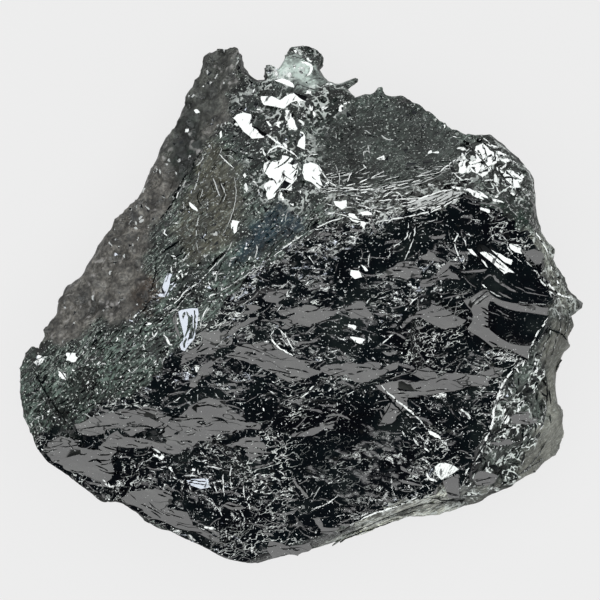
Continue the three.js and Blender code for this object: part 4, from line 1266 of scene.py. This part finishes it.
def places_in(outline, chance, wanted):
    """Random places inside the outline and outside the fan and the bowl, about twice as many as wanted."""
    low_x, low_y, high_x, high_y = box_of(outline, 0)
    tries = round(2 * wanted * (high_x - low_x) * (high_y - low_y) / abs(area_of(outline)))
    spots = [(chance.uniform(low_x, high_x), chance.uniform(low_y, high_y)) for _ in range(tries)]
    if not spots:
        return []
    plan = np.array(spots)
    clear = (depth_inside(plan, FAN) < 0) & (depth_inside(plan, BOWL) < 0)
    return [spots[i] for i in np.flatnonzero((depth_inside(plan, outline) > 0) & clear)]


def open_slits(stone, facets, chance):
    """Dark slits in the larger flat facets, along their longest run."""
    height = height_finder(stone)
    taken = []
    slits = []
    for light, outline in facets:
        wanted = round(abs(area_of(outline)) * (LEVEL_SLITS if light == "level" else FLASH_SLITS))
        base = facing(light)
        for x, y in places_in(outline, chance, wanted)[:wanted]:
            bearing = long_way(outline) + chance.gauss(0, SLIT_SPREAD)
            length = chance.uniform(*SLIT_LENGTHS)
            slit = shard(x, y, length, chance.uniform(*SLIT_WIDTHS), bearing, chance)
            level = height(x, y)
            if level is None or not takes_room(slit, taken):
                continue
            steep = chance.choice((-1, 1)) * chance.uniform(*SLIT_FALLS)
            across = math.radians(bearing + 90)
            fall = (base[0] + steep * math.cos(across), base[1] + steep * math.sin(across))
            slits.append((slit, level - SLIT_DEPTH, fall))
    strike(stone, slits, fill=0, cut=SLIT_CUT)


def scatter_splinters(stone, chance, zone, count, lengths, widths, bearing, spread, lights):
    """Small flat splinters strewn over a zone, each facing one of the lights or nearly so."""
    height = height_finder(stone)
    taken = []
    splinters = []
    for x, y in places_in(zone, chance, count):
        length = chance.uniform(*lengths)
        width = chance.uniform(*widths)
        splinter = shard(x, y, length, width, bearing + chance.gauss(0, spread), chance)
        fall = [share + chance.gauss(0, FALL_SPREAD) for share in facing(chance.choice(lights))]
        level = settled(splinter, fall, height)
        if level is not None and takes_room(splinter, taken):
            splinters.append((splinter, level, fall))
        if len(splinters) == count:
            break
    strike(stone, splinters, fill=SPLINTER_REACH, cut=SPLINTER_REACH)


def strike_all_facets(stone):
    """Strikes the random splinters first, so that the named facets stay whole."""
    chance = random.Random(SEED)
    for zone, count, lengths, widths, bearing, spread, lights in STREWN:
        scatter_splinters(stone, chance, zone, count, lengths, widths, bearing, spread, lights)
    facets = [("level", ragged(outline, chance, STEP_WANDER, STEP_ROUNDS)) for outline in STEPS.values()]
    facets += [(light, ragged(outline, chance, FLASH_WANDER)) for light, outline in FLASHES.values()]
    strike_named(stone, facets)
    open_slits(stone, facets, chance)
    blazes = [(light, ragged(outline, chance, BLAZE_WANDER)) for light, outline in BLAZES.values()]
    strike_named(stone, blazes)
    strike_named(stone, list(SMOOTH_FACETS.values()))
    pieces = []
    for group in SPLINTERS.values():
        for light, width, line in group:
            pieces += strip_pieces(light, width, line, chance)
    strike_named(stone, pieces)


def thin(stone, limit):
    """Collapses the least needed edges until the stone has the given number of triangles."""
    triangles = sum(len(face.vertices) - 2 for face in stone.data.polygons)
    if triangles > limit:
        apply_modifier(stone, "DECIMATE", ratio=limit / triangles)


def doubled_faces(shape):
    """Faces that lie back to back on the same points, and the flaps that hang from an edge of two others."""
    by_points = {}
    for face in shape.faces:
        by_points.setdefault(frozenset(face.verts), []).append(face)
    found = {face for faces in by_points.values() if len(faces) > 1 for face in faces}
    for face in shape.faces:
        uses = [len(edge.link_faces) for edge in face.edges]
        if min(uses) == 1 and max(uses) > 2:
            found.add(face)
    return list(found)


def largest_body(shape):
    """The largest group of faces that are joined along edges of just two faces."""
    unseen = set(shape.faces)
    largest = set()
    while unseen:
        front = [unseen.pop()]
        body = set(front)
        while front:
            sharing = [edge.link_faces for edge in front.pop().edges if len(edge.link_faces) == 2]
            for face in (face for pair in sharing for face in pair if face in unseen):
                unseen.discard(face)
                body.add(face)
                front.append(face)
        largest = max(largest, body, key=len)
    return largest


def tidy_mesh(stone):
    """Takes away doubled faces, flaps, pinched edges and crumbs, so that the stone is one closed body."""
    shape = bmesh.new()
    shape.from_mesh(stone.data)
    bmesh.ops.triangulate(shape, faces=shape.faces)
    bmesh.ops.remove_doubles(shape, verts=shape.verts, dist=WELD)
    for _ in range(TIDY_ROUNDS):
        bmesh.ops.delete(shape, geom=doubled_faces(shape), context="FACES")
        pinched = [edge for edge in shape.edges if len(edge.link_faces) > 2]
        if not pinched:
            break
        bmesh.ops.collapse(shape, edges=pinched)
    body = largest_body(shape)
    bmesh.ops.delete(shape, geom=[face for face in shape.faces if face not in body], context="FACES")
    bmesh.ops.delete(shape, geom=[edge for edge in shape.edges if not edge.link_faces], context="EDGES")
    shape.to_mesh(stone.data)
    shape.free()


def finish_stone(stone):
    """Thins and tidies the mesh, shades it, and brings it back to metres."""
    thin(stone, FACE_LIMIT)
    tidy_mesh(stone)
    stone.vertex_groups.clear()
    stone.scale = (MM,) * 3
    make_active(stone)
    bpy.ops.object.transform_apply(location=False, rotation=False, scale=True)
    bpy.ops.object.shade_smooth_by_angle(angle=math.radians(SHARP_ANGLE))


def new_material(name):
    material = bpy.data.materials.new(name)
    material.use_nodes = True
    nodes = material.node_tree.nodes
    return material, nodes, material.node_tree.links, nodes["Principled BSDF"]


def noise(nodes, links, coordinates, scale, detail=4.0, roughness=0.55):
    node = nodes.new("ShaderNodeTexNoise")
    node.inputs["Scale"].default_value = scale
    node.inputs["Detail"].default_value = detail
    node.inputs["Roughness"].default_value = roughness
    links.new(coordinates, node.inputs["Vector"])
    return node.outputs["Fac"]


def ramp(nodes, links, value, stops):
    """A colour ramp with (place, colour) stops."""
    node = nodes.new("ShaderNodeValToRGB")
    band = node.color_ramp
    while len(band.elements) < len(stops):
        band.elements.new(0.5)
    for element, (place, colour) in zip(band.elements, stops):
        element.position = place
        element.color = (*colour, 1)
    links.new(value, node.inputs["Fac"])
    return node.outputs["Color"]


def mapped(nodes, links, value, low, high, to_low, to_high):
    node = nodes.new("ShaderNodeMapRange")
    node.inputs["From Min"].default_value = low
    node.inputs["From Max"].default_value = high
    node.inputs["To Min"].default_value = to_low
    node.inputs["To Max"].default_value = to_high
    links.new(value, node.inputs["Value"])
    return node.outputs["Result"]


def mixed(nodes, links, share, first, second):
    """First where the share is 0 and second where it is 1. Each is a socket or a colour."""
    node = nodes.new("ShaderNodeMix")
    node.data_type = "RGBA"
    links.new(share, node.inputs["Factor"])
    for socket, colour in ((node.inputs[6], first), (node.inputs[7], second)):
        if isinstance(colour, tuple):
            socket.default_value = (*colour, 1)
        else:
            links.new(colour, socket)
    return node.outputs[2]


def bumped(nodes, links, height, strength, distance, normal=None):
    node = nodes.new("ShaderNodeBump")
    node.inputs["Strength"].default_value = strength
    node.inputs["Distance"].default_value = distance
    links.new(height, node.inputs["Height"])
    if normal:
        links.new(normal, node.inputs["Normal"])
    return node.outputs["Normal"]


def object_place(nodes):
    return nodes.new("ShaderNodeTexCoord").outputs["Object"]


def stretched(nodes, links, place, bearing, stretch):
    """The coordinates turned and stretched, so that a pattern runs along the bearing."""
    node = nodes.new("ShaderNodeMapping")
    node.vector_type = "TEXTURE"
    node.inputs["Rotation"].default_value = (0, 0, math.radians(bearing))
    node.inputs["Scale"].default_value = (stretch, 1, 1)
    links.new(place, node.inputs["Vector"])
    return node.outputs["Vector"]


def curl_of(nodes):
    """How curled and crumbled the place is."""
    node = nodes.new("ShaderNodeAttribute")
    node.attribute_name = "curl"
    return node.outputs["Fac"]


def tint_of(nodes):
    """The tint of the place, which in a few zones is painted light, and its alpha."""
    node = nodes.new("ShaderNodeAttribute")
    node.attribute_name = "tint"
    return node.outputs["Color"], node.outputs["Alpha"]


def multiplied(nodes, links, first, second):
    """Two colours multiplied."""
    node = nodes.new("ShaderNodeMix")
    node.data_type = "RGBA"
    node.blend_type = "MULTIPLY"
    node.inputs["Factor"].default_value = 1.0
    links.new(first, node.inputs[6])
    links.new(second, node.inputs[7])
    return node.outputs[2]


def hairlines(nodes, links, coordinates, scale, width):
    """1 on fine curled lines, the places where a noise passes its middle value, and 0 elsewhere."""
    node = nodes.new("ShaderNodeMath")
    node.operation = "COMPARE"
    node.inputs[1].default_value = 0.5
    node.inputs[2].default_value = width
    links.new(noise(nodes, links, coordinates, scale, 2.5, 0.6), node.inputs[0])
    return node.outputs["Value"]


def blotches(nodes, links, coordinates, scale, detail, low, high, most=1.0):
    """0 where a noise is below the low value, rising to the most where it is above the high one."""
    return mapped(nodes, links, noise(nodes, links, coordinates, scale, detail), low, high, 0, most)


def greys(*stops):
    """Ramp stops, from pairs of a place and a grey."""
    return [(place, (grey, grey, grey)) for place, grey in stops]


def shine(nodes, links, shader, coordinates, scale, detail, places, roughnesses):
    """A roughness that goes from one value to another as a noise goes from one place to another."""
    varied = mapped(nodes, links, noise(nodes, links, coordinates, scale, detail), *places, *roughnesses)
    links.new(varied, shader.inputs["Roughness"])


def reckoned(nodes, links, operation, first, second):
    """Two values added or multiplied."""
    node = nodes.new("ShaderNodeMath")
    node.operation = operation
    links.new(first, node.inputs[0])
    links.new(second, node.inputs[1])
    return node.outputs["Value"]


def product(nodes, links, first, second):
    return reckoned(nodes, links, "MULTIPLY", first, second)


def mirror_glass():
    """The level steps of a fresh break: clean black glass with faint streaks, fine cracks and some dust."""
    material, nodes, links, shader = new_material("mirror_glass")
    place = object_place(nodes)
    grain = stretched(nodes, links, place, -14, 3)
    tint = ramp(nodes, links, noise(nodes, links, grain, 900, 6, 0.6),
                [(0.36, (0.001, 0.001, 0.001)), (0.5, (0.01, 0.011, 0.01)), (0.66, (0.045, 0.048, 0.044))])
    dust = blotches(nodes, links, place, 9000, 2, 0.68, 0.73)
    links.new(mixed(nodes, links, dust, tint, (0.55, 0.57, 0.56)), shader.inputs["Base Color"])
    polish = mapped(nodes, links, noise(nodes, links, place, 900), 0.3, 0.7, 0.03, 0.1)
    cracked = blotches(nodes, links, place, 420, 2, 0.5, 0.56, most=0.6)
    cracks = product(nodes, links, hairlines(nodes, links, grain, 1300, 0.01), cracked)
    links.new(reckoned(nodes, links, "ADD", polish, cracks), shader.inputs["Roughness"])
    ripples = noise(nodes, links, grain, 1500, 4)
    links.new(bumped(nodes, links, ripples, 0.1, 0.00002), shader.inputs["Normal"])
    shader.inputs["IOR"].default_value = GLASS_IOR
    return material


def streaked_glass():
    """The facets that flash: black glass ruled with fine streaks, so that the flash breaks up."""
    material, nodes, links, shader = new_material("streaked_glass")
    place = object_place(nodes)
    tint = ramp(nodes, links, noise(nodes, links, place, 700),
                [(0.35, (0.004, 0.005, 0.006)), (0.65, (0.03, 0.033, 0.035))])
    links.new(tint, shader.inputs["Base Color"])
    streaks = noise(nodes, links, stretched(nodes, links, place, 70, 5), 4200, 3, 0.6)
    links.new(mapped(nodes, links, streaks, 0.6, 0.68, 0.05, 0.4), shader.inputs["Roughness"])
    links.new(bumped(nodes, links, streaks, 0.12, 0.00003), shader.inputs["Normal"])
    shader.inputs["IOR"].default_value = GLASS_IOR
    return material


def splintered_glass():
    """The uneven parts of a fresh break: black glass with feathery ridges, pale hairlines and dust."""
    material, nodes, links, shader = new_material("splintered_glass")
    place = object_place(nodes)
    tint = ramp(nodes, links, noise(nodes, links, place, 420, 5),
                [(0.38, (0.001, 0.001, 0.002)), (0.54, (0.002, 0.004, 0.005)), (0.7, (0.014, 0.019, 0.018))])
    _, calm = tint_of(nodes)
    dust = product(nodes, links, blotches(nodes, links, place, 9500, 3, 0.65, 0.69),
                   mapped(nodes, links, calm, 0, 1, 1, 0.25))
    dusty = mixed(nodes, links, dust, tint, (0.93, 0.97, 0.95))
    stir = mapped(nodes, links, calm, 0, 1, 1, 0)
    combed = product(nodes, links, blotches(nodes, links, place, 330, 3, 0.5, 0.58), stir)
    flow = stretched(nodes, links, place, 20, 2.2)
    lines = product(nodes, links, hairlines(nodes, links, flow, 2400, 0.012), combed)
    links.new(mixed(nodes, links, lines, dusty, (0.74, 0.78, 0.75)), shader.inputs["Base Color"])
    shine(nodes, links, shader, place, 900, 4, (0.3, 0.7), (0.04, 0.12))
    feathers = noise(nodes, links, stretched(nodes, links, place, -14, 4), 9000, 4, 0.6)
    links.new(bumped(nodes, links, feathers, 0.4, 0.00002), shader.inputs["Normal"])
    shader.inputs["IOR"].default_value = GLASS_IOR
    return material


def broken_slope():
    """Older breaks: satin in the tint of the place, with fibres, pale hairlines and flecks. Calm places have
    fewer of them. Curled places have pale curls as well, and near-black patches of painted shade that stand
    for shaded hollows."""
    material, nodes, links, shader = new_material("broken_slope")
    place = object_place(nodes)
    tinted, calm = tint_of(nodes)
    fibres = noise(nodes, links, stretched(nodes, links, place, 42, 4), 8000, 5, 0.65)
    shade = ramp(nodes, links, fibres, greys((0.42, 0.05), (0.5, 0.85), (0.57, 2.6)))
    shade = mixed(nodes, links, calm, shade, (1, 1, 1))
    patches = ramp(nodes, links, noise(nodes, links, place, 550, 3),
                   greys((0.36, 0.2), (0.5, 0.85), (0.64, 1.8)))
    patches = mixed(nodes, links, product(nodes, links, calm, calm), patches, (1, 1, 1))
    tint = multiplied(nodes, links, multiplied(nodes, links, tinted, shade), patches)
    stir = mapped(nodes, links, calm, 0, 1, 1, 0.1)
    crumbs = noise(nodes, links, place, 9000, 3, 0.6)
    flecks = product(nodes, links, mapped(nodes, links, crumbs, 0.61, 0.65, 0, 1), stir)
    flecked = mixed(nodes, links, flecks, tint, (0.80, 0.87, 0.82))
    combed = product(nodes, links, blotches(nodes, links, place, 400, 3, 0.52, 0.6), stir)
    flow = stretched(nodes, links, place, 42, 3)
    lines = product(nodes, links, hairlines(nodes, links, flow, 2800, 0.012), combed)
    lined = mixed(nodes, links, lines, flecked, (0.34, 0.40, 0.36))
    curl = curl_of(nodes)
    # Painted shade: near-black patches in curled places, standing for shaded hollows; they don't follow the
    # mesh.
    dark = mapped(nodes, links, noise(nodes, links, place, 1000, 4), 0.45, 0.52, 0.9, 0)
    with_painted_shade = mixed(nodes, links, product(nodes, links, dark, curl), lined, (0.003, 0.005, 0.004))
    curls = product(nodes, links, hairlines(nodes, links, place, 1500, 0.035),
                    blotches(nodes, links, place, 700, 2, 0.46, 0.52))
    curled = mixed(nodes, links, product(nodes, links, curls, curl), with_painted_shade, (0.90, 0.97, 0.93))
    links.new(curled, shader.inputs["Base Color"])
    shine(nodes, links, shader, place, 2600, 2, (0.42, 0.6), (0.6, 0.22))
    rough = bumped(nodes, links, fibres, 0.8, 0.00005)
    links.new(mapped(nodes, links, calm, 0, 1, 0.9, 0.15), rough.node.inputs["Strength"])
    links.new(bumped(nodes, links, crumbs, 0.5, 0.00004, rough), shader.inputs["Normal"])
    shader.inputs["IOR"].default_value = 1.45
    return material


def weathered_rim():
    """The natural outer skin: dull and lumpy, in the tint of the place, with dark pits, painted light and
    shade on its lumps, and pale blotches that are painted highlights.
    """
    material, nodes, links, shader = new_material("weathered_rim")
    place = object_place(nodes)
    lumps = noise(nodes, links, place, 1300, 7, 0.6)
    # Partly painted light and shade: the skin's colour follows the same noise as its lumpy bump, darker where
    # the lumps are low and lighter where they are high.
    shade = ramp(nodes, links, lumps, greys((0.36, 0.22), (0.5, 0.85), (0.64, 1.6)))
    grit = ramp(nodes, links, noise(nodes, links, place, 6500, 4, 0.65),
                greys((0.38, 0.45), (0.5, 0.95), (0.62, 1.7)))
    tinted, _ = tint_of(nodes)
    skin = multiplied(nodes, links, multiplied(nodes, links, tinted, shade), grit)
    # Painted highlights: soft pale blotches in clusters, where the lumps would catch the light.
    painted_highlights = product(nodes, links, blotches(nodes, links, place, 2600, 1, 0.58, 0.68, most=0.7),
                    blotches(nodes, links, place, 450, 2, 0.5, 0.58))
    links.new(mixed(nodes, links, painted_highlights, skin, (0.42, 0.41, 0.4)), shader.inputs["Base Color"])
    shine(nodes, links, shader, place, 1600, 4, (0.35, 0.65), (0.16, 0.5))
    lumpy = bumped(nodes, links, lumps, 0.9, 0.00025)
    pitted = bumped(nodes, links, noise(nodes, links, place, 4000, 3), 0.6, 0.00004, lumpy)
    links.new(pitted, shader.inputs["Normal"])
    shader.inputs["IOR"].default_value = 1.6
    return material


def wall_share(places):
    """1 at places (rows, in metres) on the walls and underside of the stone and 0 on its upper side, as told
    by the nearest face of the CAD solid."""
    solid = bpy.data.objects["tourmaline_chunk"].data
    corners = [corner.co for corner in solid.vertices]
    tree = BVHTree.FromPolygons(corners, [face.vertices for face in solid.polygons])
    upward = np.array([tree.find_nearest(place)[1].z for place in places])
    return blend_in(WALL_UPWARD - upward, 0.2)


def tint_stone(stone):
    """A colour for each vertex from the zones it lies in, with the zone's calm as its alpha, and its curl. In
    a few zones the colour is painted light, as told in TINTS.
    """
    points = positions(stone)
    walls = wall_share(points)
    plan = wavy(as_seen(points / MM), points[:, 2] / MM, walls)
    foot_end = FOOT_LEVEL + FOOT_WAVE * np.sin(1.1 * plan[:, 0] + 0.9 * plan[:, 1])
    low = walls * blend_in(foot_end - points[:, 2] / MM, FOOT_BLEND)
    tint = np.tile(np.array([*SLOPE_TINT, 0.0]), (len(plan), 1))
    for zone, softness, colour, calm in TINTS:
        width = softness * (1 + 2 * walls)
        share = blend_in(depth_inside(plan, zone) + width / 2, width)[:, None]
        tint = tint * (1 - share) + np.array([*colour, calm]) * share
    tint = tint * (1 - low[:, None]) + np.array([*FOOT_TINT, FOOT_CALM]) * low[:, None]
    under = blend_in(0.15 - upward_of(stone), 0.3)
    tint[:, 3] = np.maximum(tint[:, 3], UNDER_CALM * under)
    layer = stone.data.color_attributes.new("tint", "FLOAT_COLOR", "POINT")
    layer.data.foreach_set("color", tint.ravel())
    curl = np.zeros(len(plan))
    for zone, softness, amount in CURLED:
        share = blend_in(depth_inside(plan, zone) + softness / 2, softness)
        curl = np.maximum(curl, amount * (1 - low) * share)
    stone.data.attributes.new("curl", "FLOAT", "POINT").data.foreach_set("value", curl)


def facing_lights(normals, lights):
    """Which faces face one of the lights, or straight up, within about a degree and a half."""
    found = np.zeros(len(normals), dtype=bool)
    for light in lights:
        fall = facing(light)
        wanted = np.array([fall[0], fall[1], 1.0])
        found |= normals @ (wanted / np.linalg.norm(wanted)) > FACING_ALIKE
    return found


def finishes(centres, normals):
    """The finish of each face, from its centre in millimetres and its normal. Later lines overrule."""
    upward = normals[:, 2]
    top = upward > UPPER_SIDE
    walls = wall_share(centres * MM)
    plan = wavy(as_seen(centres), centres[:, 2], walls)
    bottom_edge = depth_inside(plan, BOTTOM_EDGE)
    bands = np.maximum.reduce([depth_inside(plan, EDGE_BAND), depth_inside(plan, EAST_EDGE), bottom_edge,
                               depth_inside(plan, OUTER_BAND)])
    finish = np.where(top, SLOPE, SPLINTERED)
    finish[top & (depth_inside(plan, RIM) > 0)] = SKIN
    finish[top & (upward < STEEP_SIDE) & (bands < 0) & (finish == SLOPE)] = SPLINTERED
    finish[(bands > 0) & (upward > BAND_UNDERSIDE) & (finish == SPLINTERED)] = SLOPE
    finish[depth_inside(plan, FRACTURE) > 0] = SPLINTERED
    finish[bottom_edge > 0] = SLOPE
    finish[(walls > 0.5) & (finish == SPLINTERED)] = SLOPE
    finish[top & facing_lights(normals, ["level"]) & (bottom_edge < 0)] = MIRROR
    finish[top & facing_lights(normals, GLINTS)] = STREAKED
    finish[top & facing_lights(normals, ["shade"])] = SPLINTERED
    return finish


def dress_stone(stone):
    """Tints the stone and gives each face its finish."""
    tint_stone(stone)
    mesh = stone.data
    mesh.materials.clear()
    for material in (mirror_glass(), splintered_glass(), broken_slope(), weathered_rim(), streaked_glass()):
        mesh.materials.append(material)
    count = len(mesh.polygons)
    centres = np.empty(count * 3)
    normals = np.empty(count * 3)
    mesh.polygons.foreach_get("center", centres)
    mesh.polygons.foreach_get("normal", normals)
    slots = finishes(centres.reshape(-1, 3) / MM, normals.reshape(-1, 3))
    mesh.polygons.foreach_set("material_index", slots.astype(np.int32))
    mesh.update()


def floor_material():
    """Pale paper that glows a little by itself, so that the stone throws hardly any shadow."""
    material, nodes, links, shader = new_material("pale_paper")
    place = object_place(nodes)
    paper = ramp(nodes, links, noise(nodes, links, place, 30), greys((0.3, 0.08), (0.7, 0.09)))
    links.new(paper, shader.inputs["Base Color"])
    shader.inputs["Roughness"].default_value = 0.9
    shader.inputs["Specular IOR Level"].default_value = 0.0
    path = nodes.new("ShaderNodeLightPath")
    glow = mapped(nodes, links, path.outputs["Is Glossy Ray"], 0, 1, FLOOR_GLOW, FLOOR_GLOW_IN_POLISH)
    links.new(glow, shader.inputs["Emission Strength"])
    shader.inputs["Emission Color"].default_value = (1, 1, 1, 1)
    return material


def make_floor():
    deselect_all()
    bpy.ops.mesh.primitive_plane_add(size=FLOOR_SIDE)
    floor = bpy.context.object
    floor.name = "floor"
    floor.data.materials.append(floor_material())


def disc_light(name, bearing, zenith, half_angle, brightness, distance=LIGHT_DISTANCE):
    """A round light that faces the stone, with the given radiance."""
    turn = math.radians(bearing)
    lean = math.radians(zenith)
    away = Vector((math.sin(lean) * math.cos(turn), math.sin(lean) * math.sin(turn), math.cos(lean)))
    radius = distance * math.tan(math.radians(half_angle))
    light = bpy.data.lights.new(name, "AREA")
    light.shape = "DISK"
    light.size = radius * 2
    light.energy = brightness * math.pi * math.pi * radius * radius
    lamp = bpy.data.objects.new(name, light)
    bpy.context.scene.collection.objects.link(lamp)
    lamp.location = away * distance
    lamp.rotation_mode = "QUATERNION"
    lamp.rotation_quaternion = away.to_track_quat("Z", "Y")
    lamp.visible_camera = False
    return lamp


def make_lights():
    panel = disc_light("ceiling_panel", 0, 0, PANEL_HALF_ANGLE, CEILING_BRIGHTNESS)
    panel.visible_glossy = False
    window = disc_light("ceiling_window", 0, 0, WINDOW_HALF_ANGLE, CEILING_BRIGHTNESS, WINDOW_DISTANCE)
    window.visible_diffuse = False
    for name, (bearing, zenith, half_angle, brightness) in GLINTS.items():
        lamp = disc_light(name, bearing, zenith, half_angle, brightness)
        lamp.visible_diffuse = False
        lamp.data.color = BLUISH if name in BLUE_LIGHTS else GREENISH


def make_world():
    """A pale room for the camera and for soft light, and a dim one in the stone's polish."""
    world = bpy.data.worlds.new("studio")
    bpy.context.scene.world = world
    world.use_nodes = True
    nodes = world.node_tree.nodes
    links = world.node_tree.links
    background = nodes["Background"]
    path = nodes.new("ShaderNodeLightPath")
    unseen = mixed(nodes, links, path.outputs["Is Glossy Ray"], ROOM_LIGHT, ROOM_IN_POLISH)
    shown = mixed(nodes, links, path.outputs["Is Camera Ray"], unseen, ROOM_SEEN)
    links.new(shown, background.inputs["Color"])


def make_camera():
    camera = bpy.data.cameras.new("overhead_camera")
    camera.sensor_width = SENSOR
    camera.lens = SENSOR * (EYE_HEIGHT - SEEN_LEVEL) / VIEW_WIDTH
    camera.clip_start, camera.clip_end = CLIP
    eye = bpy.data.objects.new("overhead_camera", camera)
    bpy.context.scene.collection.objects.link(eye)
    eye.location = (0, 0, EYE_HEIGHT * MM)
    bpy.context.scene.camera = eye


def build():
    make_camera()
    make_lights()
    make_world()
    make_floor()
    stone = start_stone()
    mark_zones(stone)
    roughen_zones(stone)
    thin(stone, ROUGH_LIMIT)
    strike_all_facets(stone)
    finish_stone(stone)
    dress_stone(stone)
    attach(stone, "root")
    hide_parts("tourmaline_chunk")


build()
bpy.context.scene.view_settings.view_transform = "Standard"
